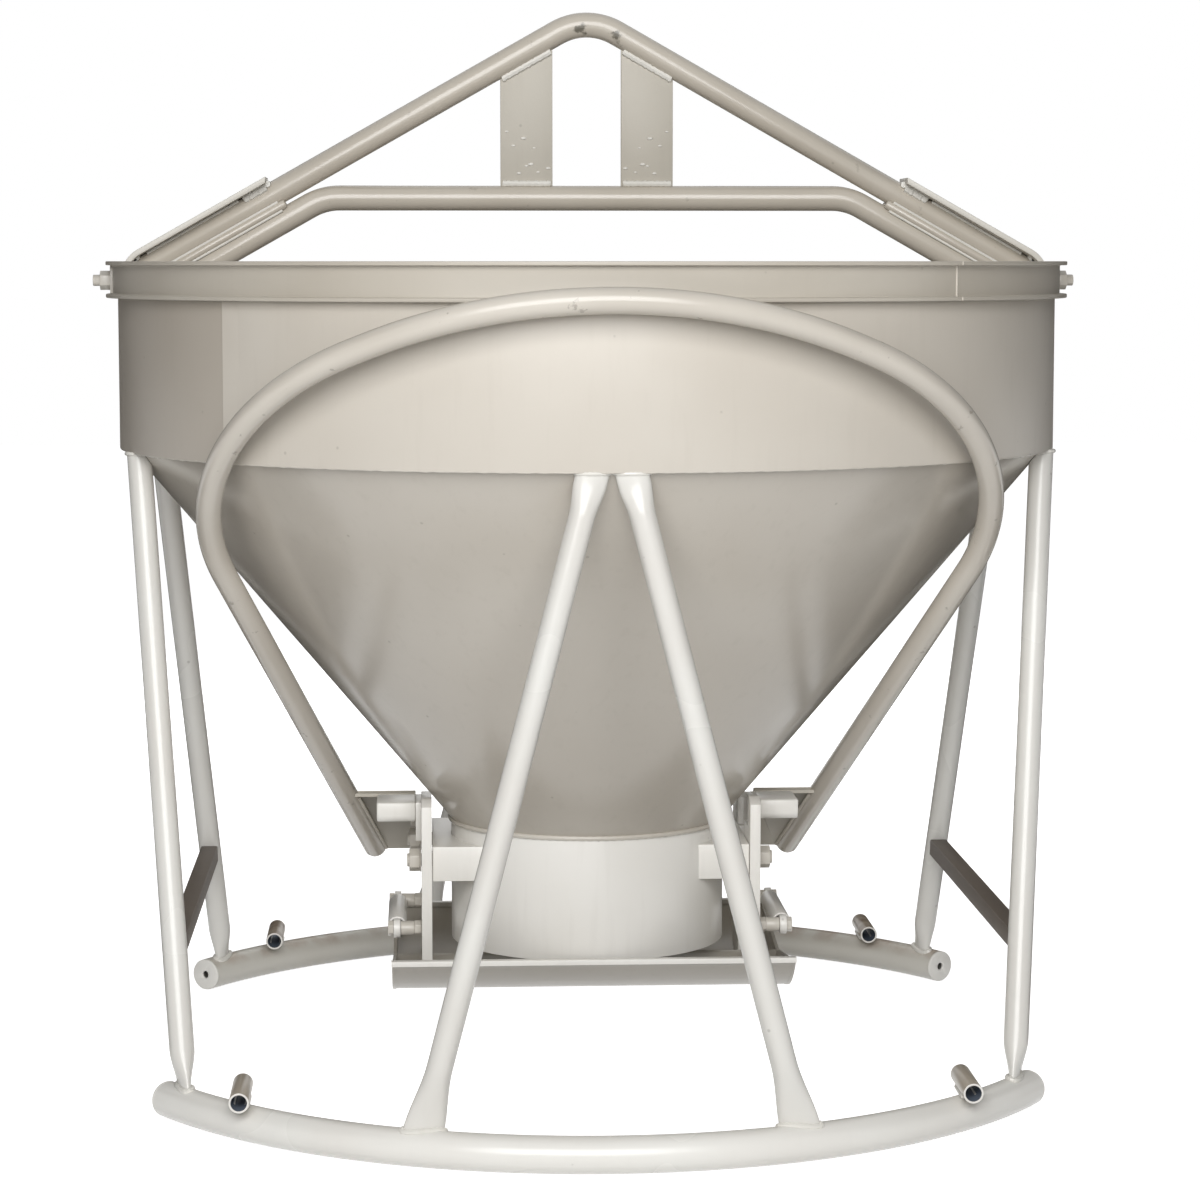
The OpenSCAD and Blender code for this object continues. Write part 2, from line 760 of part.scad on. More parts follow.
module arm_bores() {
    x_cylinder(0, far / 2, -pivot_y, pivot_z, pivot_d / 2 + run_fit);
    x_cylinder(0, far / 2, -strut_y, strut_z, strut_bolt_d / 2 + bolt_fit);
}

// Lower part of an arm, standing on the inside of the pan
module arm_lower(top) {
    intersection() {
        along_x(arm_in_x, arm_x)
            polygon([[-pivot_y - arm_w / 2, 0], [-pivot_y + arm_w / 2, 0],
                     [-pivot_y + arm_w / 2, top], [-pivot_y - arm_w / 2, top]]);
        x_cylinder(arm_in_x, arm_x, -pivot_y, pivot_z, pan_in_r - weld_gap);
    }
}

module front_gate_arm(side) {
    color(pale)
        on_side(side)
            difference() {
                union() {
                    arm_lower(pivot_z + arm_w / 2);
                    along_x(arm_in_x, arm_x)
                        translate([-pivot_y - arm_w / 2, pivot_z])
                            polygon([[0, 0], [arm_neck_w, 0], [arm_neck_w, arm_rise],
                                     [arm_neck_w / 2, arm_rise], [0, arm_rise - arm_nose]]);
                }
                arm_bores();
            }
}

module front_gate_arm_left() { front_gate_arm(-1); }
module front_gate_arm_right() { front_gate_arm(1); }

// Drawn at the front like the front arm, then turned to the back
module rear_gate_arm(side) {
    color(pale)
        on_side(side)
            on_end(1)
                difference() {
                    union() {
                        arm_lower(pivot_z + arm_w / 4);
                        along_x(arm_in_x, arm_x)
                            polygon([[-hub_back_y, pivot_z], [-rear_arm_front_y, pivot_z],
                                     [-rear_arm_front_y, rear_arm_top_z], [-hub_back_y, rear_arm_top_z]]);
                    }
                    arm_bores();
                    for (p = hub_bolt_at) x_cylinder(0, far / 2, -p.x, p.y, handle_bolt_d / 2 + bolt_fit);
                }
}

module rear_gate_arm_left() { rear_gate_arm(-1); }
module rear_gate_arm_right() { rear_gate_arm(1); }

// Bolt, nut and spacer that carry a strut's eye beside the arm
module strut_bolts(y) {
    head = strut_x + strut_eye_t / 2 + strut_eye_gap;
    color(pale)
        for (side = [-1, 1])
            on_side(side) {
                x_cylinder(arm_in_x, head + 1, y, strut_z, strut_bolt_d / 2);
                x_hex(head, head + strut_head_t, y, strut_z, strut_bolt_d * 1.5);
            }
}

module strut_nuts(y) {
    color(pale)
        for (side = [-1, 1])
            on_side(side)
                difference() {
                    x_hex(arm_x, arm_x + strut_nut_t, y, strut_z, strut_bolt_d * 1.5);
                    x_cylinder(0, far / 2, y, strut_z, strut_bolt_d / 2 + bolt_fit);
                }
}

module strut_spacers(y) {
    color(pale)
        for (side = [-1, 1])
            on_side(side)
                difference() {
                    x_cylinder(arm_x + strut_nut_t, strut_x - strut_eye_t / 2 - strut_eye_gap, y, strut_z,
                               strut_bolt_d * 0.8);
                    x_cylinder(0, far / 2, y, strut_z, strut_bolt_d / 2 + bolt_fit);
                }
}

module front_strut_bolts() { strut_bolts(-strut_y); }
module front_strut_nuts() { strut_nuts(-strut_y); }
module front_strut_spacers() { strut_spacers(-strut_y); }
module rear_strut_bolts() { strut_bolts(strut_y); }
module rear_strut_nuts() { strut_nuts(strut_y); }
module rear_strut_spacers() { strut_spacers(strut_y); }

module y_cylinder(y0, y1, d) {
    translate([strut_x, y0, strut_z]) rotate([-90, 0, 0]) cylinder(h = y1 - y0, d = d);
}

// Eye on a strut bolt, with a flat neck towards the middle
module strut_eye(y, neck_y) {
    difference() {
        union() {
            x_cylinder(strut_x - strut_eye_t / 2, strut_x + strut_eye_t / 2, y, strut_z, strut_eye_d / 2);
            translate([strut_x - strut_eye_t / 2, min(y, neck_y), strut_z - strut_rod_d / 2])
                cube([strut_eye_t, abs(neck_y - y), strut_rod_d]);
        }
        x_cylinder(0, far / 2, y, strut_z, strut_bolt_d / 2 + run_fit);
    }
}

// Closing strut: the tube hangs on the rear arm and the rod on the front arm
module strut_tube(side) {
    mouth = -strut_y + strut_tube_back;
    back = strut_y - strut_tube_back;
    color(pale)
        on_side(side) {
            difference() {
                y_cylinder(mouth, back, strut_d);
                y_cylinder(mouth - 1, back - strut_floor, strut_bore);
            }
            strut_eye(strut_y, back - strut_floor / 2);
        }
}

module strut_rod(side) {
    tip = -strut_y + strut_reach;
    color(pale)
        on_side(side) {
            strut_eye(-strut_y, -strut_y + strut_tube_back);
            y_cylinder(-strut_y + strut_eye_d / 2 - 2, tip - strut_piston_len, strut_rod_d);
            y_cylinder(tip - strut_piston_len, tip, strut_bore - 2 * run_fit);
        }
}

module strut_tube_left() { strut_tube(-1); }
module strut_tube_right() { strut_tube(1); }
module strut_rod_left() { strut_rod(-1); }
module strut_rod_right() { strut_rod(1); }

// The loop lies in its own plane: local X across, local Y up along the loop
module in_loop_plane() {
    translate([0, loop_foot_y, loop_foot_z]) rotate([loop_tilt, 0, 0]) children();
}

module loop_arc(x, s, r, d, a0, a1) {
    translate([x, s, 0])
        rotate([0, 0, a0])
            rotate_extrude(angle = a1 - a0) translate([r, 0]) circle(d = d);
}

module loop_leg(d, tail) {
    translate([loop_foot_x, 0, 0])
        rotate([-90, 0, -loop_lean])
            translate([0, 0, -tail]) cylinder(h = loop_leg_len + bend_in + tail, d = d);
}

module loop_pipe(d, tail) {
    loop_arc(0, loop_len - loop_top_r, loop_top_r, d, 90 - loop_top_half, 90 + loop_top_half);
    for (side = [-1, 1])
        on_side(side) {
            translate([0, loop_len - loop_top_r, 0])
                rotate([0, 0, -loop_top_half])
                    translate([-bend_in, loop_top_r, 0])
                        rotate([0, 90, 0]) cylinder(h = loop_flat + 2 * bend_in, d = d - 2 * bend_step);
            loop_arc(loop_side_x, loop_side_s, loop_side_r, d, -loop_lean, loop_side_turn - loop_lean);
            loop_leg(d - 2 * bend_step, tail);
        }
}

module handle_loop() {
    color(putty)
        in_loop_plane()
            difference() {
                loop_pipe(loop_d, 0);
                loop_pipe(loop_d - 2 * loop_wall, loop_d);
            }
}

// Plate in the loop's plane, from the hub out to the loop's leg, with a flange at its upper end
module handle_gusset(side) {
    flange_y = loop_foot_y - gusset_end * cos(180 - loop_tilt);
    color(putty)
        on_side(side)
            difference() {
                union() {
                    in_loop_plane()
                        translate([hub_x, gusset_start, -gusset_t / 2])
                            cube([loop_foot_x - hub_x + gusset_end * tan(loop_lean),
                                  gusset_end - gusset_start, gusset_t]);
                    translate([hub_x, flange_y - flange_w, flange_z])
                        cube([loop_foot_x - hub_x + gusset_end * tan(loop_lean), flange_w, flange_t]);
                }
                in_loop_plane() {
                    loop_leg(loop_d + 2 * weld_gap, 0);
                    translate([loop_foot_x, 0, 0])
                        rotate([0, 0, -loop_lean])
                            translate([0, -far / 2, -far / 2]) cube(far);
                }
            }
}

module handle_gusset_left() { handle_gusset(-1); }
module handle_gusset_right() { handle_gusset(1); }

// Plate bolted to the outside of the rear arm
module handle_hub(side) {
    color(pale)
        on_side(side)
            difference() {
                along_x(arm_x, hub_x - weld_gap)
                    polygon([[hub_front_y, hub_bottom_z], [hub_back_y, hub_bottom_z],
                             [hub_back_y, block_top_z - hub_fall], [hub_front_y + block_depth, block_top_z],
                             [hub_front_y, block_top_z]]);
                for (p = hub_bolt_at) x_cylinder(0, far / 2, p.x, p.y, handle_bolt_d / 2 + bolt_fit);
            }
}

module handle_hub_left() { handle_hub(-1); }
module handle_hub_right() { handle_hub(1); }

module handle_block(side) {
    round_r = block_h / 3;
    bottom = block_top_z - block_h;
    front = hub_front_y;
    color(pale)
        on_side(side)
            along_x(block_in_x, block_in_x + block_len) {
                translate([front + round_r, bottom]) square([block_depth - round_r, block_h]);
                translate([front, bottom + round_r]) square([round_r + 1, block_h - round_r]);
                translate([front + round_r, bottom + round_r]) circle(r = round_r);
            }
}

module handle_block_left() { handle_block(-1); }
module handle_block_right() { handle_block(1); }

module handle_bolts() {
    color(pale)
        for (side = [-1, 1], p = hub_bolt_at)
            on_side(side) {
                x_cylinder(arm_in_x, hub_x + 1, p.x, p.y, handle_bolt_d / 2);
                x_hex(hub_x, hub_x + handle_bolt_d * head_ratio, p.x, p.y, handle_bolt_d * 1.5);
            }
}

drum_shell();
hopper_cone();
discharge_throat();
rim_channel();
rim_pads();
bail_top_bar();
bail_cross_bar();
bail_plate_left();
bail_plate_right();
bail_strap_left();
bail_strap_right();
bail_fillers();
bail_bolts();
bail_nuts();
base_ring_front();
base_ring_rear();
ring_end_caps();
front_leg_left();
front_leg_right();
rear_leg_left();
rear_leg_right();
side_leg_front_left();
side_leg_front_right();
side_leg_rear_left();
side_leg_rear_right();
side_brace_left();
side_brace_right();
guide_sleeves();
pivot_bracket_left();
pivot_bracket_right();
pivot_bolts();
pivot_nuts();
pivot_washers();
front_gate_pan();
front_gate_arm_left();
front_gate_arm_right();
front_strut_bolts();
front_strut_nuts();
front_strut_spacers();
rear_gate_pan();
rear_gate_arm_left();
rear_gate_arm_right();
rear_strut_bolts();
rear_strut_nuts();
rear_strut_spacers();
handle_loop();
handle_gusset_left();
handle_gusset_right();
handle_hub_left();
handle_hub_right();
handle_block_left();
handle_block_right();
handle_bolts();
strut_tube_left();
strut_tube_right();
strut_rod_left();
strut_rod_right();
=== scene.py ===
import json
from math import asin, atan, atan2, cos, pi, radians, sin, sqrt, tan

import bmesh
import bpy
from mathutils import Matrix, Vector


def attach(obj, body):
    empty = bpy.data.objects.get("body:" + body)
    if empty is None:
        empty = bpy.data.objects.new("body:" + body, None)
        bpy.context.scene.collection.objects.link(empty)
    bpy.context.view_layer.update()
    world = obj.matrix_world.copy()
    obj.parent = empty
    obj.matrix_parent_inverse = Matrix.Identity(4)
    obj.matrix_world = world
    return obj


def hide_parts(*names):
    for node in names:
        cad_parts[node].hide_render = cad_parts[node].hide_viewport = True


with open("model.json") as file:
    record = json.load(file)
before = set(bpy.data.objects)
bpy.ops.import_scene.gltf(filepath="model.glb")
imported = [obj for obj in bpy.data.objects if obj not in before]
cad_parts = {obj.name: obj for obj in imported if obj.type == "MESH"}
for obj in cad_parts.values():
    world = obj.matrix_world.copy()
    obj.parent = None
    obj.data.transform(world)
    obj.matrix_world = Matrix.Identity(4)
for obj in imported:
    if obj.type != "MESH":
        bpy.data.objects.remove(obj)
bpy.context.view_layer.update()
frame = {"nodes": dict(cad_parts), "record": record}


# Drum: one sheet of 4 mm mild steel, rolled to a cylinder and lap welded up the front left.
# It stands on the cone's collar, and its lower edge hangs past the collar as a short skirt.
DRUM_R, DRUM_T = 836.0, 4.0
DRUM_BOTTOM, RIM_TOP = 1106.0, 1434.0
# where the lap is, how far its free edge stands proud, and over what length that is hammered down
LAP_TURN, LAP_PROUD, LAP_LEN = radians(47.8), 1.6, 40.0


def linear(code):
    """An sRGB hex colour as the linear values that a shader takes."""
    parts = [int(code[i:i + 2], 16) / 255 for i in (1, 3, 5)]
    return [p / 12.92 if p <= 0.04045 else ((p + 0.055) / 1.055) ** 2.4 for p in parts] + [1.0]


def add(tree, kind, sockets=None, **settings):
    """Adds a node; a socket's value is a constant, or (node, output) for a link."""
    node = tree.nodes.new(kind)
    for key, value in settings.items():
        setattr(node, key, value)
    for key, value in (sockets or {}).items():
        if isinstance(value, tuple) and len(value) == 2 and isinstance(value[0], bpy.types.Node):
            tree.links.new(value[0].outputs[value[1]], node.inputs[key])
        else:
            node.inputs[key].default_value = value
    return node


def sprayed_enamel(name, coat, shade, peel=1.0, streak=0.5, rough=(0.27, 0.33), chip=0.0):
    """Glossy enamel sprayed on steel: an even coat that drifts a little in tone, thin run marks down
    the sides, a few grit specks, chips where it is handled, and orange peel that breaks up highlights."""
    material = bpy.data.materials.new(name)
    material.use_nodes = True
    tree = material.node_tree
    shader = tree.nodes["Principled BSDF"]
    place = add(tree, "ShaderNodeTexCoord")
    # tone drifts over about 220 mm, the width of one pass of the spray gun
    drift = add(tree, "ShaderNodeTexNoise", {"Vector": (place, "Object"), "Scale": 1 / 0.22, "Detail": 1.5})
    tone = add(tree, "ShaderNodeMapRange", {"Value": (drift, "Fac"), "From Min": 0.2, "From Max": 0.8})
    colour = add(tree, "ShaderNodeMix", {"Factor": (tone, "Result"), "A": linear(shade), "B": linear(coat)},
                 data_type="RGBA")
    # run marks 18 mm apart, stretched ten times down the height
    run_place = add(tree, "ShaderNodeMapping", {"Vector": (place, "Object"), "Scale": (1.0, 1.0, 0.1)})
    runs = add(tree, "ShaderNodeTexNoise", {"Vector": (run_place, "Vector"), "Scale": 1 / 0.018, "Detail": 3.0})
    run_mask = add(tree, "ShaderNodeMapRange", {"Value": (runs, "Fac"), "From Min": 0.56, "From Max": 0.74,
                                                "To Max": 0.16 * streak})
    streaked = add(tree, "ShaderNodeMix", {"Factor": (run_mask, "Result"), "A": (colour, "Result"),
                                           "B": linear("#8c8476")}, data_type="RGBA")
    # grit specks of about 3 mm, 70 mm apart; real ones are nearer 1 mm and would not show
    grit = add(tree, "ShaderNodeTexVoronoi", {"Vector": (place, "Object"), "Scale": 1 / 0.07})
    speck = add(tree, "ShaderNodeMapRange", {"Value": (grit, "Distance"), "From Min": 0.025, "From Max": 0.05,
                                             "To Min": 0.3, "To Max": 0.0})
    specked = add(tree, "ShaderNodeMix", {"Factor": (speck, "Result"), "A": (streaked, "Result"),
                                          "B": linear("#6f685d")}, data_type="RGBA")
    # chips of about 10 mm down to dark primer
    flakes = add(tree, "ShaderNodeTexNoise", {"Vector": (place, "Object"), "Scale": 1 / 0.028, "Detail": 6.0,
                                              "Roughness": 0.6})
    chipped = add(tree, "ShaderNodeMapRange", {"Value": (flakes, "Fac"), "From Min": 0.66, "From Max": 0.69,
                                               "To Max": chip})
    worn = add(tree, "ShaderNodeMix", {"Factor": (chipped, "Result"), "A": (specked, "Result"),
                                       "B": linear("#6a6156")}, data_type="RGBA")
    gloss = add(tree, "ShaderNodeMapRange", {"Value": (drift, "Fac"), "From Min": 0.2, "From Max": 0.8,
                                             "To Min": rough[0], "To Max": rough[1]})
    # orange peel of about 5 mm, coarser than the real 2 mm so that it shows
    skin = add(tree, "ShaderNodeTexNoise", {"Vector": (place, "Object"), "Scale": 1 / 0.005, "Detail": 2.0})
    peeled = add(tree, "ShaderNodeBump", {"Height": (skin, "Fac"), "Strength": 0.12 * peel, "Distance": 0.0006})
    waves = add(tree, "ShaderNodeTexNoise", {"Vector": (place, "Object"), "Scale": 1 / 0.09, "Detail": 2.0})
    bumped = add(tree, "ShaderNodeBump", {"Height": (waves, "Fac"), "Strength": 0.2 * peel, "Distance": 0.003,
                                          "Normal": (peeled, "Normal")})
    tree.links.new(worn.outputs["Result"], shader.inputs["Base Color"])
    tree.links.new(gloss.outputs["Result"], shader.inputs["Roughness"])
    tree.links.new(bumped.outputs["Normal"], shader.inputs["Normal"])
    shader.inputs["IOR"].default_value = 1.5
    return material


def stained(material, mask, colour):
    """Lays a colour over a coat where the mask node says so."""
    tree = material.node_tree
    base = tree.nodes["Principled BSDF"].inputs["Base Color"]
    over = add(tree, "ShaderNodeMix", {"Factor": (mask, 0), "A": (base.links[0].from_node, "Result"),
                                       "B": linear(colour)}, data_type="RGBA")
    tree.links.new(over.outputs["Result"], base)


def piece(name, bm, material, body, finish, *nodes, sharp=35):
    """Closes a mesh drawn in millimetres, hangs it on its body and lets it stand for its CAD nodes."""
    bmesh.ops.remove_doubles(bm, verts=bm.verts[:], dist=0.02)
    bmesh.ops.recalc_face_normals(bm, faces=bm.faces[:])
    bmesh.ops.scale(bm, vec=(0.001, 0.001, 0.001), verts=bm.verts[:])
    mesh = bpy.data.meshes.new(name)
    bm.to_mesh(mesh)
    bm.free()
    mesh.shade_smooth()
    mesh.set_sharp_from_angle(angle=radians(sharp))
    mesh.materials.append(material)
    obj = bpy.data.objects.new(name, mesh)
    bpy.context.scene.collection.objects.link(obj)
    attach(obj, body)
    if nodes:
        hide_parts(*nodes)
    return obj


def roll(bm, outline, ease, steps, turn=2 * pi, start=0.0):
    """Rolls a closed outline, drawn as (radius, height) with eased corners, about the upright axis."""
    shape = bmesh.new()
    shape.faces.new([shape.verts.new((r, 0, z)) for r, z in outline])
    bmesh.ops.bevel(shape, geom=shape.verts[:], offset=ease, offset_type="OFFSET", affect="VERTICES",
                    segments=3, profile=0.5, material=-1)
    full = turn >= 2 * pi
    if full:
        bmesh.ops.delete(shape, geom=shape.faces[:], context="FACES_ONLY")
    bmesh.ops.rotate(shape, verts=shape.verts[:], cent=(0, 0, 0), matrix=Matrix.Rotation(start, 3, "Z"))
    bmesh.ops.spin(shape, geom=shape.verts[:] + shape.edges[:] + shape.faces[:], cent=(0, 0, 0),
                   axis=(0, 0, 1), angle=turn, steps=steps, use_merge=full)
    carry(shape, bm)


def carry(part, whole):
    """Moves a part's mesh into the mesh of the whole piece."""
    spare = bpy.data.meshes.new("spare")
    part.to_mesh(spare)
    part.free()
    whole.from_mesh(spare)
    bpy.data.meshes.remove(spare)


def bead(bm, path, size, closed=False):
    """A weld bead: a ring pushed along the joint, swelling and shrinking as each puddle froze."""
    count = len(path)
    points = [Vector(p) for p in path]
    heading = (points[1] - points[0]).normalized()
    face = Vector((0, 0, 1)).rotation_difference(heading).to_matrix().to_4x4()
    ring = bmesh.ops.create_circle(bm, segments=8, radius=size,
                                   matrix=Matrix.Translation(points[0]) @ face)["verts"]
    first = edges = list(dict.fromkeys(e for v in ring for e in v.link_edges))
    for i in range(1, count):
        grown = bmesh.ops.extrude_edge_only(bm, edges=edges)["geom"]
        verts = [g for g in grown if isinstance(g, bmesh.types.BMVert)]
        kept = set(verts)
        edges = [g for g in grown if isinstance(g, bmesh.types.BMEdge) and all(v in kept for v in g.verts)]
        bmesh.ops.translate(bm, verts=verts, vec=points[i] - points[i - 1])
        ahead = points[(i + 1) % count] if closed or i + 1 < count else points[i] + heading
        turned = (ahead - points[i]).normalized()
        bmesh.ops.rotate(bm, verts=verts, cent=points[i],
                         matrix=heading.rotation_difference(turned).to_matrix())
        heading = turned
        swell = 1.16 if i % 2 else 1 / 1.16
        bmesh.ops.scale(bm, verts=verts, vec=(swell, swell, swell), space=Matrix.Translation(-points[i]))
    if closed:
        bmesh.ops.bridge_loops(bm, edges=first + edges)
    else:
        bmesh.ops.contextual_create(bm, geom=first)
        bmesh.ops.contextual_create(bm, geom=edges)


# broad flat-sprayed sheet: a soft, even shine with no sharp reflections
drum_paint = sprayed_enamel("gloss enamel sprayed on rolled steel sheet", "#c6c0b6", "#bfb8ad", streak=0.3,
                            rough=(0.36, 0.42))
# beyond the lap the sheet is painted darker up to a sharp line at the lap, fading further round: painted shade for
# a dark reflection on that side
tree = drum_paint.node_tree
place = add(tree, "ShaderNodeTexCoord")
past = add(tree, "ShaderNodeVectorMath", {0: (place, "Object"), 1: (-cos(LAP_TURN), sin(LAP_TURN), 0.0)},
           operation="DOT_PRODUCT")
line = add(tree, "ShaderNodeMapRange", {"Value": (past, "Value"), "From Min": 0.0, "From Max": 0.001})
near = add(tree, "ShaderNodeVectorMath", {0: (place, "Object"), 1: (-sin(LAP_TURN), -cos(LAP_TURN), 0.0)},
           operation="DOT_PRODUCT")
fade = add(tree, "ShaderNodeMapRange", {"Value": (near, "Value"), "From Min": 0.2, "From Max": 0.82, "To Max": 0.5})
painted_lap_shade = add(tree, "ShaderNodeMath", {0: (line, "Result"), 1: (fade, "Result")}, operation="MULTIPLY")
stained(drum_paint, painted_lap_shade, "#978d80")
# the frozen ripples under the coat catch small broken highlights
weld_paint = sprayed_enamel("enamel sprayed over rippled steel welds", "#cbc6bd", "#b9b2a6", peel=3.0)

drum = bmesh.new()
roll(drum, [(DRUM_R - DRUM_T, DRUM_BOTTOM), (DRUM_R, DRUM_BOTTOM), (DRUM_R, RIM_TOP), (DRUM_R - DRUM_T, RIM_TOP)],
     1.2, 192)
# the lap shows between the drum's lower edge and the rim
lap, lap_span = bmesh.new(), LAP_LEN / DRUM_R
lap_low, lap_high = DRUM_BOTTOM + 4, RIM_TOP - 64.5
roll(lap, [(DRUM_R - 1, lap_low), (DRUM_R + LAP_PROUD, lap_low), (DRUM_R + LAP_PROUD, lap_high),
           (DRUM_R - 1, lap_high)], 0.6, 8, turn=lap_span, start=-pi / 2 - LAP_TURN)
for v in lap.verts:
    sunk = (LAP_PROUD + 0.1) * (atan2(v.co.y, v.co.x) + pi / 2 + LAP_TURN) / lap_span
    v.co.xy *= 1 - sunk / DRUM_R
carry(lap, drum)
piece("drum_shell_sheet", drum, drum_paint, "bucket", "hopper_paint", "drum_shell")
skirt_weld = bmesh.new()
bead(skirt_weld, [(sin(2 * pi * i / 440) * (DRUM_R - 2), cos(2 * pi * i / 440) * (DRUM_R - 2),
                   DRUM_BOTTOM + 0.4 * sin(i * 2.3)) for i in range(440)], 1.9, closed=True)
piece("drum_edge_weld", skirt_weld, weld_paint, "bucket", "hopper_paint")


# Cone: a sheet cut as a fan, rolled and welded into a funnel, with a collar flanged up inside the drum.
# Its lower edge is welded to the throat.
CONE_TOP, CONE_BOTTOM, THROAT_R = 1119.6, 426.3, 248.0
# the CAD keeps pieces that are welded together this far apart
WELD_GAP = 0.2
CONE_TOP_R, CONE_T, COLLAR = DRUM_R - DRUM_T - WELD_GAP, 4.0, 20.0
CONE_LEAN = atan((CONE_TOP_R - THROAT_R) / (CONE_TOP - CONE_BOTTOM))
cone_across = CONE_T / cos(CONE_LEAN)
# the smoothest sheet: its gloss mirrors the legs and the floor faintly
cone_paint = sprayed_enamel("gloss enamel sprayed on a rolled steel cone", "#c3bdb3", "#bdb6ab", streak=0.4,
                            rough=(0.19, 0.23))
cone = bmesh.new()
roll(cone, [(CONE_TOP_R, CONE_TOP + COLLAR), (CONE_TOP_R, CONE_TOP), (THROAT_R, CONE_BOTTOM),
            (THROAT_R - cone_across, CONE_BOTTOM), (CONE_TOP_R - CONE_T, CONE_TOP + 1.4),
            (CONE_TOP_R - CONE_T, CONE_TOP + COLLAR)], 1.2, 192)
piece("hopper_cone_sheet", cone, cone_paint, "bucket", "hopper_paint", "hopper_cone")


# Throat: a short pipe rolled from 5 mm steel sheet, through which the concrete falls on the gate.
# It hangs under the cone, with a weld bead all round the joint.
THROAT_T, THROAT_BOTTOM = 5.0, 205.0
# paler than the cone, with faint runs
throat_paint = sprayed_enamel("enamel sprayed on a rolled steel throat", "#e9e7e2", "#dedbd4", streak=0.3)
throat = bmesh.new()
roll(throat, [(THROAT_R - THROAT_T, THROAT_BOTTOM), (THROAT_R, THROAT_BOTTOM),
              (THROAT_R, CONE_BOTTOM - WELD_GAP),
              (THROAT_R - THROAT_T, CONE_BOTTOM - WELD_GAP)], 1.2, 128)
piece("discharge_throat_pipe", throat, throat_paint, "bucket", "frame_paint", "discharge_throat")
throat_weld = bmesh.new()
bead(throat_weld, [(sin(2 * pi * i / 220) * (THROAT_R + 1.5), cos(2 * pi * i / 220) * (THROAT_R + 1.5),
                    CONE_BOTTOM - 1) for i in range(220)], 4.2, closed=True)
piece("throat_weld", throat_weld, weld_paint, "bucket", "hopper_paint")


# Rim: a steel channel rolled to a hoop with its open side outwards, welded round the drum's top edge.
# Its ends meet in a butt weld at the front right.
RIM_H, RIM_WEB, RIM_FLANGE, RIM_R = 64.0, 8.0, 7.0, DRUM_R + 21
RIM_IN = DRUM_R + WELD_GAP
RIM_JOINT = radians(42.6)
# duller than the drum, and its coat painted darker than the drum's: painted shade for the channel
shaded_rim_paint = sprayed_enamel("gloss enamel sprayed on a rolled steel channel", "#bab4a9", "#b0a99d", streak=0.2,
                           rough=(0.38, 0.48))
rim = bmesh.new()
rim_low, rim_web_out = RIM_TOP - RIM_H, RIM_IN + RIM_WEB
roll(rim, [(RIM_IN, rim_low), (RIM_R, rim_low), (RIM_R, rim_low + RIM_FLANGE),
           (rim_web_out, rim_low + RIM_FLANGE), (rim_web_out, RIM_TOP - RIM_FLANGE),
           (RIM_R, RIM_TOP - RIM_FLANGE), (RIM_R, RIM_TOP), (RIM_IN, RIM_TOP)], 1.8, 192)
piece("rim_channel_hoop", rim, shaded_rim_paint, "bucket", "hopper_paint", "rim_channel")
rim_weld = bmesh.new()
out_x, out_y = sin(RIM_JOINT), -cos(RIM_JOINT)
for low in (rim_low, RIM_TOP - RIM_FLANGE):
    bead(rim_weld, [(out_x * (RIM_R - 0.4), out_y * (RIM_R - 0.4), low + 0.6 + 1.16 * i) for i in range(6)], 1.6)
bead(rim_weld, [(out_x * rim_web_out, out_y * rim_web_out, rim_low + RIM_FLANGE + 2.2 * i)
                for i in range(24)], 1.8)
piece("rim_butt_weld", rim_weld, weld_paint, "bucket", "hopper_paint")


# Bail: two 44.5 mm round bars bent cold to the same slope. The upper one is bowed over for the crane hook,
# the lower one runs level between the arms and then lies along them.
BAIL_R, BAIL_BEND = 22.25, 109.0
STRAP_T = 10.0
STRAP_IN = DRUM_R - DRUM_T - WELD_GAP - STRAP_T
# the arms' line peaks above the rim's top and meets the straps below it
BAIL_RISE, BAIL_DIP = 436.0, 29.0
BAIL_SLOPE = atan((BAIL_RISE + BAIL_DIP) / STRAP_IN)
BAIL_PEAK = RIM_TOP + BAIL_RISE
CROSS_Z, BAR_PITCH, BAR_END = RIM_TOP + 112.5, 49.5, STRAP_IN - 20


def start_bar(bm, at, along, radius, segments=40):
    """The first ring of a round bar or pipe; returns its edges."""
    face = Vector((0, 0, 1)).rotation_difference(Vector(along)).to_matrix().to_4x4()
    ring = bmesh.ops.create_circle(bm, segments=segments, radius=radius,
                                   matrix=Matrix.Translation(at) @ face)["verts"]
    return list(dict.fromkeys(e for v in ring for e in v.link_edges))


def draw_on(bm, edges, vec):
    """Draws a bar on in a straight line; returns its new end."""
    grown = bmesh.ops.extrude_edge_only(bm, edges=edges)["geom"]
    verts = [g for g in grown if isinstance(g, bmesh.types.BMVert)]
    kept = set(verts)
    bmesh.ops.translate(bm, verts=verts, vec=vec)
    return [g for g in grown if isinstance(g, bmesh.types.BMEdge) and all(v in kept for v in g.verts)]


def bend_on(bm, edges, cent, axis, angle, steps):
    """Bends a bar on about a centre; returns its new end."""
    verts = list(dict.fromkeys(v for e in edges for v in e.verts))
    last = bmesh.ops.spin(bm, geom=verts + edges, cent=cent, axis=axis, angle=angle, steps=steps)["geom_last"]
    return [g for g in last if isinstance(g, bmesh.types.BMEdge)]


def end_bar(bm, edges, ease=1.5):
    """Closes a bar's end and eases its edge."""
    bmesh.ops.contextual_create(bm, geom=edges)
    bmesh.ops.bevel(bm, geom=edges, offset=ease, offset_type="OFFSET", affect="EDGES", segments=2, profile=0.5,
                    material=-1)


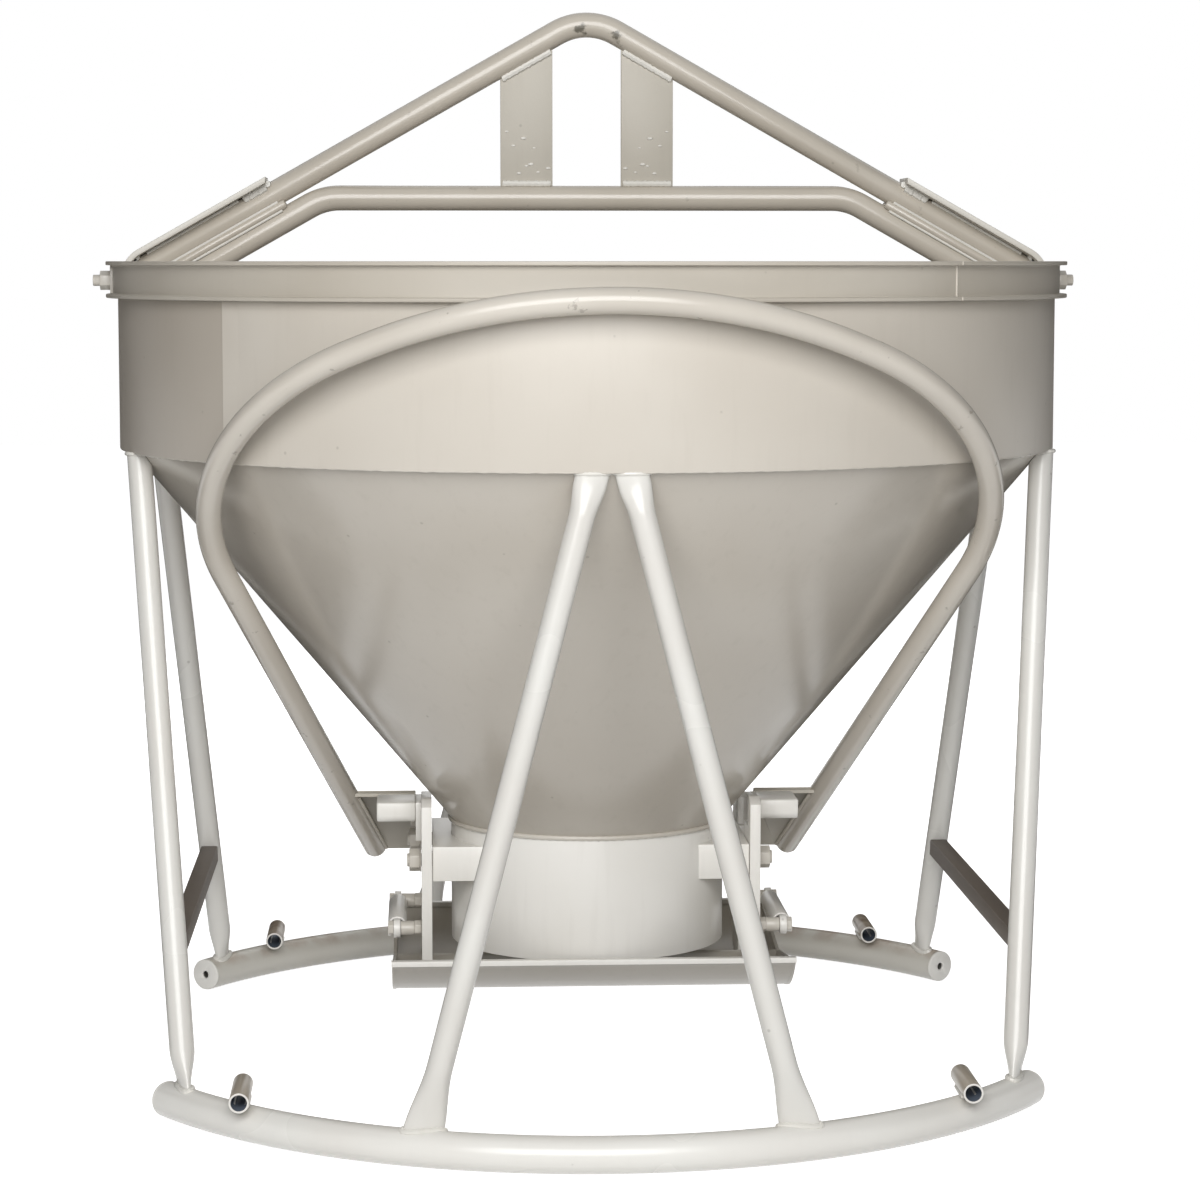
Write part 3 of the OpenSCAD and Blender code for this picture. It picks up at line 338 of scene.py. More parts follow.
def saw_ends(bm):
    """Saws both ends of a bail bar upright, a little short of the straps."""
    for side in (-1, 1):
        cut = bmesh.ops.bisect_plane(bm, geom=bm.verts[:] + bm.edges[:] + bm.faces[:],
                                     plane_co=(side * BAR_END, 0, 0), plane_no=(side, 0, 0), clear_outer=True)
        end_bar(bm, [g for g in cut["geom_cut"] if isinstance(g, bmesh.types.BMEdge)], 2.0)


# a glossy round bar: one bright line along each arm, and a few chips
bail_paint = sprayed_enamel("enamel sprayed on round steel bar", "#c2bbaf", "#b8b0a3", streak=0.2,
                            rough=(0.16, 0.26), chip=0.2)
# on the bow the crane hook has rubbed two ragged spots of about 20 mm down to dark steel
tree = bail_paint.node_tree
place = add(tree, "ShaderNodeTexCoord")
ragged = add(tree, "ShaderNodeTexNoise", {"Vector": (place, "Object"), "Scale": 1 / 0.012, "Detail": 4.0})
for spot in ((-0.012, -0.018, 1.846), (0.052, -0.018, 1.831)):
    far_off = add(tree, "ShaderNodeVectorMath", {0: (place, "Object"), 1: spot}, operation="DISTANCE")
    frayed = add(tree, "ShaderNodeMath", {0: (ragged, "Fac"), 1: 0.05, 2: (far_off, "Value")},
                 operation="MULTIPLY_ADD")
    rubbed = add(tree, "ShaderNodeMapRange", {"Value": (frayed, "Value"), "From Min": 0.03, "From Max": 0.038,
                                              "To Min": 0.85, "To Max": 0.0})
    stained(bail_paint, rubbed, "#565348")

slope_x, slope_z = cos(BAIL_SLOPE), sin(BAIL_SLOPE)
top_bar = bmesh.new()
arc_z = BAIL_PEAK - BAIL_BEND / slope_x
bend_x, bend_z = BAIL_BEND * slope_z, arc_z + BAIL_BEND * slope_x
arm = (BAR_END - bend_x) / slope_x + BAIL_R * tan(BAIL_SLOPE)
end = start_bar(top_bar, (-bend_x - arm * slope_x, 0, bend_z - arm * slope_z), (slope_x, 0, slope_z), BAIL_R)
end = draw_on(top_bar, end, (arm * slope_x, 0, arm * slope_z))
end = bend_on(top_bar, end, (0, 0, arc_z), (0, 1, 0), 2 * BAIL_SLOPE, 20)
end = draw_on(top_bar, end, (arm * slope_x, 0, -arm * slope_z))
saw_ends(top_bar)
piece("bail_top_bar_bent", top_bar, bail_paint, "bucket", "frame_paint", "bail_top_bar")

cross_bar = bmesh.new()
cross_peak = BAIL_PEAK - BAR_PITCH / slope_x
knee = (cross_peak - CROSS_Z) / tan(BAIL_SLOPE)
level = knee - BAIL_BEND * tan(BAIL_SLOPE / 2)
bend_x, bend_z = level + BAIL_BEND * slope_z, CROSS_Z - BAIL_BEND + BAIL_BEND * slope_x
arm = (BAR_END - bend_x) / slope_x + BAIL_R * tan(BAIL_SLOPE)
end = start_bar(cross_bar, (-bend_x - arm * slope_x, 0, bend_z - arm * slope_z), (slope_x, 0, slope_z), BAIL_R)
end = draw_on(cross_bar, end, (arm * slope_x, 0, arm * slope_z))
end = bend_on(cross_bar, end, (-level, 0, CROSS_Z - BAIL_BEND), (0, 1, 0), BAIL_SLOPE, 12)
end = draw_on(cross_bar, end, (2 * level, 0, 0))
end = bend_on(cross_bar, end, (level, 0, CROSS_Z - BAIL_BEND), (0, 1, 0), BAIL_SLOPE, 12)
end = draw_on(cross_bar, end, (arm * slope_x, 0, -arm * slope_z))
saw_ends(cross_bar)
piece("bail_cross_bar_bent", cross_bar, bail_paint, "bucket", "frame_paint", "bail_cross_bar")


# Bail plates, straps and filler rods: flat bar cut and welded between the two bars, broad straps laid on the
# arms and bent down inside the drum, and round rods that fill the grooves between the bars.
def eased(node, ease, least=50, segments=2):
    """A merged copy of a CAD node, in millimetres, with its sharp edges ground to a small radius."""
    bm = bmesh.new()
    bm.from_mesh(frame["nodes"][node].data)
    bmesh.ops.scale(bm, vec=(1000, 1000, 1000), verts=bm.verts[:])
    bmesh.ops.remove_doubles(bm, verts=bm.verts[:], dist=0.01)
    bmesh.ops.dissolve_limit(bm, angle_limit=radians(1), verts=bm.verts[:], edges=bm.edges[:])
    keen = [e for e in bm.edges if len(e.link_faces) == 2 and e.calc_face_angle(0) > radians(least)]
    bmesh.ops.bevel(bm, geom=keen, offset=ease, offset_type="OFFSET", affect="EDGES", segments=segments,
                    profile=0.5, material=-1, clamp_overlap=True)
    return bm


# mill scale under the coat leaves it matt and slightly pitted
plate_paint = sprayed_enamel("enamel sprayed on hot-rolled flat bar", "#bab5aa", "#b0aa9e", peel=2.0, streak=0.4,
                             rough=(0.46, 0.58))
for node in ("bail_plate_left", "bail_plate_right"):
    piece(node + "_flat", eased(node, 1.5), plate_paint, "bucket", "frame_paint", node)

# a paler copy of the bars' coat, painted light for the strap edges that face the lamp; it has levelled out, but its
# shine is dull
lit_strap_paint = sprayed_enamel("enamel sprayed on bent flat bar", "#d2cfc7", "#c6c1b7", peel=0.5, streak=0.2,
                             rough=(0.4, 0.5))
STRAP_W, STRAP_LEN, STRAP_LEG, STRAP_BEND = 100.0, 298.0, 110.0, 60.0
strap_line = BAIL_PEAK + (BAIL_R + WELD_GAP) / slope_x
strap_out = STRAP_IN + STRAP_T
strap_from, strap_low = strap_out - STRAP_LEN * slope_x, RIM_TOP - STRAP_LEG
for side, word in ((-1, "left"), (1, "right")):
    strap = bmesh.new()
    # the underside and the upper side as seen from the front, which are then drawn out to the strap's width
    under = [(strap_from, strap_line - strap_from * tan(BAIL_SLOPE)),
             (STRAP_IN, strap_line - STRAP_IN * tan(BAIL_SLOPE)), (STRAP_IN, strap_low)]
    upper = [(strap_out, strap_low), (strap_out, strap_line - strap_out * tan(BAIL_SLOPE) + STRAP_T / slope_x),
             (strap_from, strap_line - strap_from * tan(BAIL_SLOPE) + STRAP_T / slope_x)]
    outline = [strap.verts.new((side * x, -STRAP_W / 2, z)) for x, z in under + upper]
    strap.faces.new(outline)
    # the bend, rounder outside than inside
    half_turn = tan(pi / 4 - BAIL_SLOPE / 2)
    for corner, bend in ((outline[4], STRAP_BEND), (outline[1], STRAP_BEND - STRAP_T)):
        bmesh.ops.bevel(strap, geom=[corner], offset=bend * half_turn, offset_type="OFFSET", affect="VERTICES",
                        segments=10, profile=0.5, material=-1)
    grown = bmesh.ops.extrude_face_region(strap, geom=strap.faces[:])["geom"]
    bmesh.ops.translate(strap, verts=[g for g in grown if isinstance(g, bmesh.types.BMVert)], vec=(0, STRAP_W, 0))
    bmesh.ops.recalc_face_normals(strap, faces=strap.faces[:])
    keen = [e for e in strap.edges if len(e.link_faces) == 2 and e.calc_face_angle(0) > radians(50)]
    bmesh.ops.bevel(strap, geom=keen, offset=1.6, offset_type="OFFSET", affect="EDGES", segments=2, profile=0.5,
                    material=-1)
    # the leg's edges are dressed back to the curve of the drum
    for v in strap.verts:
        reach = sqrt(max(0, (DRUM_R - DRUM_T - 0.3) ** 2 - v.co.y ** 2))
        v.co.x = side * min(abs(v.co.x), reach)
    piece("bail_strap_" + word + "_bent", strap, lit_strap_paint, "bucket", "frame_paint", "bail_strap_" + word)

fillers = bmesh.new()
FILLER_LEN, FILLER_R = 303.0, 8.0
filler_from = BAR_END - FILLER_LEN * slope_x
filler_y = sqrt((BAIL_R + FILLER_R + WELD_GAP) ** 2 - BAR_PITCH ** 2 / 4)
filler_z = (BAIL_PEAK + cross_peak) / 2 - filler_from * tan(BAIL_SLOPE)
for side in (-1, 1):
    for y in (-filler_y, filler_y):
        end = start_bar(fillers, (side * filler_from, y, filler_z), (side * slope_x, 0, -slope_z), FILLER_R, 20)
        far_end = draw_on(fillers, end, (side * FILLER_LEN * slope_x, 0, -FILLER_LEN * slope_z))
        end_bar(fillers, end, 4.5)
        end_bar(fillers, far_end, 3.0)
piece("bail_filler_rods", fillers, bail_paint, "bucket", "frame_paint", "bail_fillers")

# touched up after welding, so these welds are whiter than the bars
pale_weld_paint = sprayed_enamel("pale enamel sprayed over rippled steel welds", "#e0ded8", "#d3d0c8", peel=3.0)
PLATE_IN = 61.5
bail_weld = bmesh.new()
for side in (-1, 1):
    for face in (-1, 1):
        # broad fillets along the foot and the head of each plate
        run = [PLATE_IN + 3.5 + 3.6 * i for i in range(25)]
        bead(bail_weld, [(side * x, face * 6.5, CROSS_Z + BAIL_R + 3.6 + 0.5 * sin(i * 1.9))
                         for i, x in enumerate(run)], 5.2)
        bead(bail_weld, [(side * x, face * 7.0, BAIL_PEAK - x * tan(BAIL_SLOPE) - (BAIL_R + 1.2) / slope_x
                          + 0.6 * sin(i * 2.1)) for i, x in enumerate(run)], 5.6)
        # thin fillets between the strap's underside and the bar, and a fat one at its upper end
        run = [strap_from + 50 + 3.2 * i for i in range(52)]
        bead(bail_weld, [(side * x, face * 13, strap_line - 3.4 - x * tan(BAIL_SLOPE)) for x in run], 2.6)
        run = [strap_from + 4 * i for i in range(11)]
        bead(bail_weld, [(side * x, face * (18 - 0.3 * i), strap_line - 5.5 - x * tan(BAIL_SLOPE)
                          + 0.8 * sin(i * 1.7)) for i, x in enumerate(run)], 9.0)
        # and one along each side of a filler rod
        run = [10 + 3.2 * i for i in range(78)]
        for lift in (-8.6, 8.6):
            bead(bail_weld, [(side * (filler_from + x + slope_z * lift), face * (filler_y + 2.8),
                              filler_z + lift * slope_x - x * tan(BAIL_SLOPE)) for x in run], 2.2)
    bead(bail_weld, [(side * (strap_from - 2), -20 + 4 * i, strap_line - 1 - strap_from * tan(BAIL_SLOPE))
                     for i in range(11)], 5.5)
    # the bar's sawn end is built up to the strap's bend
    for out, up in ((4, 15), (9, 10), (8, 3)):
        bead(bail_weld, [(side * (BAR_END + out), -21 + 3 * i, RIM_TOP + up - 8) for i in range(15)], 7.0)
    # spatter left on the plates' faces: how far out and up from a plate's inner foot, and how big
    for off, up, size in ((8, 31, 3.2), (26, 24, 2.2), (39, 38, 3.6), (47, 35, 2.4), (60, 22, 3.0), (70, 71, 2.6),
                          (33, 67, 2.0), (52, 84, 3.4), (82, 96, 2.2)):
        drop = bmesh.ops.create_icosphere(bail_weld, subdivisions=2, radius=size)["verts"]
        bmesh.ops.scale(bail_weld, verts=drop, vec=(1.5, 0.7, 0.8))
        bmesh.ops.translate(bail_weld, verts=drop, vec=(side * (PLATE_IN + off), -6.2, CROSS_Z + BAIL_R + up))
piece("bail_welds", bail_weld, pale_weld_paint, "bucket", "frame_paint")


# Bolts and nuts of the bail: hexagon-headed steel bolts, fitted before the spraying and painted over. Each nut
# bears on a flat pad that is welded upright between the rim's flanges. The tone differs from bolt to bolt.
body_of = {n: b for b, names in frame["record"]["behaviour"]["bodies"].items() for n in names}
fastener_paint = sprayed_enamel("enamel sprayed over hexagon bolts", "#d0ccc4", "#b7b0a4", streak=0.0)
for node in ("bail_bolts", "bail_nuts"):
    piece(node + "_hexagon", eased(node, 1.4), fastener_paint, body_of[node], "painted_fasteners", node)
piece("rim_pad_plates", eased("rim_pads", 1.0), fastener_paint, "bucket", "frame_paint", "rim_pads")
PAD_W = 60.0
pad_weld = bmesh.new()
for side in (-1, 1):
    for end in (-1, 1):
        # upright beads fill the gap that the flat pad leaves against the round web
        bead(pad_weld, [(side * (rim_web_out - 0.6), end * (PAD_W / 2 + 1.5), rim_low + RIM_FLANGE + 1 + 2.4 * i)
                        for i in range(21)], 3.0)
piece("rim_pad_welds", pad_weld, weld_paint, "bucket", "frame_paint")


# Base ring: two arcs of 2 in steel pipe, rolled to the drum's circle and left open at the sides, with a
# drilled disc welded into each of the four ends.
RING_R, RING_PIPE, RING_WALL, RING_HALF = DRUM_R + 43, 30.15, 3.9, radians(56)
# smooth drawn pipe: pale and glossy, with a soft line of light along its top
pipe_paint = sprayed_enamel("gloss enamel sprayed on drawn steel pipe", "#e6e5e0", "#dedbd5", streak=0.1,
                            rough=(0.2, 0.3))
rear_paint = sprayed_enamel("enamel with rust bloom on drawn steel pipe", "#d2d0c9", "#c6c2b8", streak=0.1)
# the bloom shows on top of the rear arc, in patches of about 60 mm
tree = rear_paint.node_tree
place = add(tree, "ShaderNodeTexCoord")
parts = add(tree, "ShaderNodeSeparateXYZ", {"Vector": (place, "Object")})
topside = add(tree, "ShaderNodeMapRange", {"Value": (parts, "Z"), "From Min": 0.04, "From Max": 0.058,
                                           "To Max": 0.5})
bloom = add(tree, "ShaderNodeTexNoise", {"Vector": (place, "Object"), "Scale": 1 / 0.06, "Detail": 5.0})
patches = add(tree, "ShaderNodeMapRange", {"Value": (bloom, "Fac"), "From Min": 0.42, "From Max": 0.62})
rust = add(tree, "ShaderNodeMath", {0: (topside, "Result"), 1: (patches, "Result")}, operation="MULTIPLY")
stained(rear_paint, rust, "#8d6c50")
for word, middle, coat in (("front", -pi / 2, pipe_paint), ("rear", pi / 2, rear_paint)):
    ring = bmesh.new()
    mouth = (RING_R * cos(middle - RING_HALF), RING_R * sin(middle - RING_HALF), RING_PIPE)
    heading = (-sin(middle - RING_HALF), cos(middle - RING_HALF), 0)
    first = start_bar(ring, mouth, heading, RING_PIPE, 48)
    last = bend_on(ring, first, (0, 0, 0), (0, 0, 1), 2 * RING_HALF, 96)
    # the bore, with its mouths joined to the outside
    bore = start_bar(ring, mouth, heading, RING_PIPE - RING_WALL, 48)
    bore_last = bend_on(ring, bore, (0, 0, 0), (0, 0, 1), 2 * RING_HALF, 96)
    bmesh.ops.bridge_loops(ring, edges=first + bore)
    bmesh.ops.bridge_loops(ring, edges=last + bore_last)
    piece("base_ring_" + word + "_pipe", ring, coat, "bucket", "frame_paint", "base_ring_" + word)
piece("ring_end_discs", eased("ring_end_caps", 1.6), pipe_paint, "bucket", "frame_paint", "ring_end_caps")


# Legs: eight lengths of 1-1/4 in steel pipe. Their tops are welded under the drum's edge, and their feet are
# pressed flat over the last hand's breadth and welded on top of the ring.
LEG_R, LEG_TOP_R = 21.1, DRUM_R - 15
V_TOP_X, SIDE_TOP_TURN = 30.0, radians(73)
leg_tops = {"v": (V_TOP_X, -sqrt(LEG_TOP_R ** 2 - V_TOP_X ** 2)),
            "side": (LEG_TOP_R * sin(SIDE_TOP_TURN), -LEG_TOP_R * cos(SIDE_TOP_TURN))}
leg_feet = {"v": radians(20.5), "side": radians(52.5)}
# how much wider a foot is pressed and over what length, how much thinner, and how far it is sunk in the ring
foot_press = {"v": (0.55, 110.0), "side": (0.36, 70.0)}
FOOT_THIN, FOOT_SINK = 0.58, 6.0
# how much wider a top is pressed, how many times that it is thinner, and the length over which it fades out
top_press = {"v": 0.26, "side": 0.0}
TOP_THIN, TOP_FADE, TOP_STEP = 1.5, 55.0, 8.0
# the same coat as on the ring, in a copy painted a little darker: painted shade on the legs
shaded_leg_paint = sprayed_enamel("enamel sprayed on pressed steel pipe", "#dad9d4", "#d2cfc9", streak=0.1,
                           rough=(0.2, 0.3))
leg_weld = bmesh.new()
for kind in ("v", "side"):
    for side in (-1, 1):
        for back in (-1, 1):
            top = Vector((side * leg_tops[kind][0], -back * leg_tops[kind][1], DRUM_BOTTOM))
            foot = Vector((side * RING_R * sin(leg_feet[kind]), back * RING_R * cos(leg_feet[kind]), RING_PIPE))
            around = Vector((foot.y, -foot.x, 0)).normalized()
            along = (foot - top).normalized()
            wide = (Vector((0, 0, -1)) - along * along.z * -1).normalized()
            painted_lap_shade = along.cross(wide)
            leg = bmesh.new()
            broad, flat = foot_press[kind]
            reach = (foot - top).length - RING_PIPE + FOOT_SINK
            stops = [TOP_STEP * (i - 1) for i in range(11)] + [reach - flat + flat * i / 10 for i in range(11)]
            end = start_bar(leg, top + along * stops[0], along, LEG_R, 36)
            was, at = (1.0, 1.0), stops[0]
            for stop in stops:
                if stop > at:
                    end = draw_on(leg, end, along * (stop - at))
                verts = list(dict.fromkeys(v for e in end for v in e.verts))
                local = Matrix((wide, painted_lap_shade, along)).to_4x4() @ Matrix.Translation(-(top + along * stop))
                low = min(1, max(0, 1 - (reach - stop) / flat))
                high = min(1, max(0, 1.3 - stop / TOP_FADE))
                low, high = low * low * (3 - 2 * low), high * high * (3 - 2 * high) * top_press[kind]
                now = (1 + broad * low + high, 1 - FOOT_THIN * low - TOP_THIN * high)
                bmesh.ops.scale(leg, verts=verts, space=local, vec=(now[0] / was[0], now[1] / was[1], 1))
                was, at = now, stop
            bmesh.ops.holes_fill(leg, edges=[e for e in leg.edges if e.is_boundary], sides=0)
            # the top is sawn level under the drum's edge and dressed back to the slope of the cone
            out = Vector((top.x, top.y, 0)).normalized()
            cone_r = CONE_TOP_R - (CONE_TOP - DRUM_BOTTOM) * tan(CONE_LEAN) + 0.6
            inward = Vector((0, 0, sin(CONE_LEAN))) - out * cos(CONE_LEAN)
            for spot, facing in ((out * cone_r + Vector((0, 0, DRUM_BOTTOM)), inward),
                                 (Vector((0, 0, DRUM_BOTTOM - 0.2)), Vector((0, 0, 1)))):
                bmesh.ops.bisect_plane(leg, geom=leg.verts[:] + leg.edges[:] + leg.faces[:], plane_co=spot,
                                       plane_no=facing, clear_outer=True)
                bmesh.ops.holes_fill(leg, edges=[e for e in leg.edges if e.is_boundary], sides=0)
            end_word, side_word = "front" if back < 0 else "rear", "left" if side < 0 else "right"
            node = (end_word + "_leg_" if kind == "v" else "side_leg_" + end_word + "_") + side_word
            piece(node + "_pipe", leg, shaded_leg_paint, "bucket", "frame_paint", node)
            # the bead follows the flattened foot where it meets the ring's round top
            path = []
            for i in range(48):
                turn = 2 * pi * i / 48
                off = wide * cos(turn) * (LEG_R * (1 + broad) + 1)
                off += painted_lap_shade * sin(turn) * (LEG_R * (1 - FOOT_THIN) + 2)
                flat_off = off - around * off.dot(around)
                flat_up = along - around * along.dot(around)
                a, b = flat_up.dot(flat_up), flat_off.dot(flat_up)
                c = flat_off.dot(flat_off) - (RING_PIPE + 0.5) ** 2
                up = (b + sqrt(max(0.0, b * b - a * c))) / a
                path.append(foot + off - along * up)
            bead(leg_weld, path, 4.6, closed=True)
            # and the outer half of the pipe's top, where it butts on the drum's lower edge
            path = []
            outside = atan2(out.dot(painted_lap_shade), out.dot(wide))
            for i in range(25):
                turn = outside + radians(-96 + 8 * i)
                off = wide * cos(turn) * (LEG_R * (1 + top_press[kind]) + 0.5)
                off += painted_lap_shade * sin(turn) * (LEG_R * (1 - TOP_THIN * top_press[kind]) + 0.5)
                path.append(top + off - along * (off.z + 2.0) / along.z)
            bead(leg_weld, path, 3.2)
piece("leg_welds", leg_weld, pale_weld_paint, "bucket", "frame_paint")


# Side braces: square steel tube between the two legs of each side, cut to the legs' slope and welded.
# They are painted dark brown, as painted shade for the shade they stand in under the cone, and their coat is dull.
shaded_brace_paint = sprayed_enamel("enamel sprayed on square steel tube", "#625950", "#564d44", streak=0.2,
                             rough=(0.5, 0.62))
for node in ("side_brace_left", "side_brace_right"):
    piece(node + "_tube", eased(node, 3.0, segments=3), shaded_brace_paint, "bucket", "frame_paint", node)


# Guide sleeves: four short pieces of 1 in pipe, sawn off square and welded along the top of the ring, open right
# through. The bores are bare and dark, and rust has run from the rear pair.
SLEEVE_R, SLEEVE_BORE, SLEEVE_LEN, SLEEVE_TURN = 16.7, 13.3, 135.0, radians(43)
sleeve_x, sleeve_y = RING_R * sin(SLEEVE_TURN), RING_R * cos(SLEEVE_TURN)
sleeve_z = 2 * RING_PIPE + WELD_GAP + SLEEVE_R
# a thin tan coat, with rust coming through at the rear in patches of about 30 mm
sleeve_paint = sprayed_enamel("enamel sprayed thin on sawn pipe", "#b0a798", "#a2988a", streak=0.2)
tree = sleeve_paint.node_tree
place = add(tree, "ShaderNodeTexCoord")
bloom = add(tree, "ShaderNodeTexNoise", {"Vector": (place, "Object"), "Scale": 1 / 0.03, "Detail": 6.0})
parts = add(tree, "ShaderNodeSeparateXYZ", {"Vector": (place, "Object")})
rear = add(tree, "ShaderNodeMapRange", {"Value": (parts, "Y"), "From Min": 0.3, "From Max": 0.75, "To Max": 0.9})
rusty = add(tree, "ShaderNodeMapRange", {"Value": (bloom, "Fac"), "From Min": 0.36, "From Max": 0.6})
rust = add(tree, "ShaderNodeMath", {0: (rear, "Result"), 1: (rusty, "Result")}, operation="MULTIPLY")
stained(sleeve_paint, rust, "#75614f")
# blue-grey mill scale inside, and a bright rim where the saw went through
bore_steel = sprayed_enamel("bare mill-scaled pipe bore", "#6d7683", "#4a525e", streak=0.0, rough=(0.5, 0.65))
sawn_steel = sprayed_enamel("thin enamel on bright sawn pipe ends", "#e4e2dd", "#d6d3cc", streak=0.0)
sleeves = bmesh.new()
sleeve_weld = bmesh.new()
for side in (-1, 1):
    for back in (-1, 1):
        at = Vector((side * sleeve_x, back * sleeve_y, sleeve_z))
        tube = bmesh.new()
        roll(tube, [(SLEEVE_BORE, -SLEEVE_LEN / 2), (SLEEVE_R, -SLEEVE_LEN / 2), (SLEEVE_R, SLEEVE_LEN / 2),
                    (SLEEVE_BORE, SLEEVE_LEN / 2)], 0.7, 36)
        bmesh.ops.rotate(tube, verts=tube.verts[:], cent=(0, 0, 0), matrix=Matrix.Rotation(pi / 2, 3, "X"))
        bmesh.ops.translate(tube, verts=tube.verts[:], vec=at)
        carry(tube, sleeves)
        # a bead in the groove on each side, over the middle of the sleeve
        for off in (-1, 1):
            bead(sleeve_weld, [at + Vector((off * 11.5, -34 + 3.4 * i, -12.6)) for i in range(21)], 4.2)
obj = piece("guide_sleeve_pipes", sleeves, sleeve_paint, "bucket", "frame_paint", "guide_sleeves")
obj.data.materials.append(bore_steel)
obj.data.materials.append(sawn_steel)
for face in obj.data.polygons:
    off_axis = Vector((abs(face.center.x) * 1000 - sleeve_x, 0, face.center.z * 1000 - sleeve_z))
    if off_axis.length < SLEEVE_BORE + 0.4 and abs(face.normal.y) < 0.2:
        face.material_index = 1
    elif abs(face.normal.y) > 0.6:
        face.material_index = 2
piece("sleeve_welds", sleeve_weld, pale_weld_paint, "bucket", "frame_paint")


# Pivot brackets: plate folded to a box and welded to each side of the throat, with the gate's pivot bolts,
# washers and nuts. The coat on the flat plate is pale and nearly even.
gate_paint = sprayed_enamel("enamel sprayed on cut steel plate", "#e8e6e1", "#dcd9d2", streak=0.3)
for node in ("pivot_bracket_left", "pivot_bracket_right"):
    piece(node + "_box", eased(node, 5.0, segments=3), gate_paint, "bucket", "frame_paint", node)
for node in ("pivot_bolts", "pivot_nuts", "pivot_washers"):
    piece(node + "_hexagon", eased(node, 1.2), fastener_paint, body_of[node], "painted_fasteners", node)


# Gate leaves: 6 mm plate rolled to an arc about each pivot, closed by end plates, with a square lip bar along
# the upper edge; thick flat arms stand on the inside of each leaf. The leaves are splashed in use, which
# leaves their coat greyer, with marked runs.
pan_paint = sprayed_enamel("enamel sprayed on a rolled gate leaf", "#ada89f", "#a19b90", streak=0.8)
# the lip bar, above and outside these, has the paler coat of the cut plate
LIP_LOW, LIP_IN = 204.5, 266.0
for node in ("front_gate_pan", "rear_gate_pan"):
    obj = piece(node + "_leaf", eased(node, 1.2), pan_paint, body_of[node], "frame_paint", node)
    obj.data.materials.append(gate_paint)
    for face in obj.data.polygons:
        if face.center.z * 1000 > LIP_LOW and abs(face.center.y) * 1000 > LIP_IN:
            face.material_index = 1
BRACKET_REACH, SIDE_GAP, ARM_T, ARM_GRIND = 35.0, 1.0, 19.0, 0.6
arm_in_x = THROAT_R + BRACKET_REACH + SIDE_GAP
for side, word in ((-1, "left"), (1, "right")):
    for end in ("front", "rear"):
        node = end + "_gate_arm_" + word
        arm = eased(node, 2.0)
        if end == "front":
            # the outer face is ground back, so that the handle's hub plate passes it as the gate opens
            bmesh.ops.scale(arm, verts=arm.verts[:], vec=(1 - ARM_GRIND / ARM_T, 1, 1),
                            space=Matrix.Translation((-side * arm_in_x, 0, 0)))
        piece(node + "_flat", arm, gate_paint, body_of[node], "frame_paint", node)


# Closing struts: a pipe on the rear arms and a rod on the front arms, one sliding in the other, each with an eye
# on a bolt beside the arm.
for node in ("strut_tube_left", "strut_tube_right", "strut_rod_left", "strut_rod_right"):
    piece(node + "_turned", eased(node, 0.8), gate_paint, body_of[node], "frame_paint", node)
for node in ("front_strut_bolts", "front_strut_nuts", "front_strut_spacers", "rear_strut_bolts",
             "rear_strut_nuts", "rear_strut_spacers"):
    piece(node + "_hexagon", eased(node, 1.2), fastener_paint, body_of[node], "painted_fasteners", node)


# Handle: one length of 1-1/4 in pipe bent to a big loop that passes in front of the rim. Its legs are stiffened
# by gussets and bolted through hub plates to the rear arms.
LOOP_PIPE, LOOP_FLAT, HUB_T, LOOP_FOOT_OUT, LOOP_INSET = 21.1, 30.0, 10.0, 74.0, 186.0
# the loop is widest at this share of its height, and its sides are bent to this share of what is above
WIDEST, SIDE_BEND = 0.643, 0.905
foot_x, foot_y, foot_z = arm_in_x + ARM_T + HUB_T + LOOP_FOOT_OUT, 205.0, 329.0
# the top passes 9 mm in front of the rim
top_y, top_z = -(RIM_R + 9 + LOOP_PIPE), RIM_TOP - 60
rise, across = top_z - foot_z, foot_y - top_y
loop_len = sqrt(rise ** 2 + across ** 2)
tilt = pi - atan(rise / across)
side_s = WIDEST * loop_len
drop = loop_len - side_s
side_r = SIDE_BEND * drop
side_x = DRUM_R - LOOP_INSET - side_r
lean = asin(side_r / sqrt((side_x - foot_x) ** 2 + side_s ** 2)) - atan((foot_x - side_x) / side_s)
top_r = (drop ** 2 + side_x ** 2 - side_r ** 2 - LOOP_FLAT ** 2) / (2 * (drop - side_r))
top_half = atan2(side_x, top_r - drop) - atan(LOOP_FLAT / (top_r - side_r))
side_turn = pi / 2 + lean - top_half
leg_len = side_s * cos(lean) + (side_x - foot_x) * sin(lean)
# handled pipe: glossy, with small chips all along it
loop_paint = sprayed_enamel("gloss enamel sprayed on bent handle pipe", "#c9c3b9", "#beb7ac", streak=0.1,
                            rough=(0.18, 0.28), chip=0.4)
loop = bmesh.new()
first = start_bar(loop, (foot_x, 0, 0), (sin(lean), cos(lean), 0), LOOP_PIPE, 36)
end = draw_on(loop, first, (leg_len * sin(lean), leg_len * cos(lean), 0))
end = bend_on(loop, end, (side_x, side_s, 0), (0, 0, 1), side_turn, 48)
end = draw_on(loop, end, (-LOOP_FLAT * cos(top_half), LOOP_FLAT * sin(top_half), 0))
end = bend_on(loop, end, (0, loop_len - top_r, 0), (0, 0, 1), 2 * top_half, 40)
end = draw_on(loop, end, (-LOOP_FLAT * cos(top_half), -LOOP_FLAT * sin(top_half), 0))
end = bend_on(loop, end, (-side_x, side_s, 0), (0, 0, 1), side_turn, 48)
end = draw_on(loop, end, (leg_len * sin(lean), -leg_len * cos(lean), 0))
end_bar(loop, first, 9.0)
end_bar(loop, end, 9.0)
in_place = Matrix.Translation((0, foot_y, foot_z)) @ Matrix.Rotation(tilt, 4, "X")
bmesh.ops.transform(loop, matrix=in_place, verts=loop.verts[:])
piece("handle_loop_pipe", loop, loop_paint, "rear_gate", "frame_paint", "handle_loop")
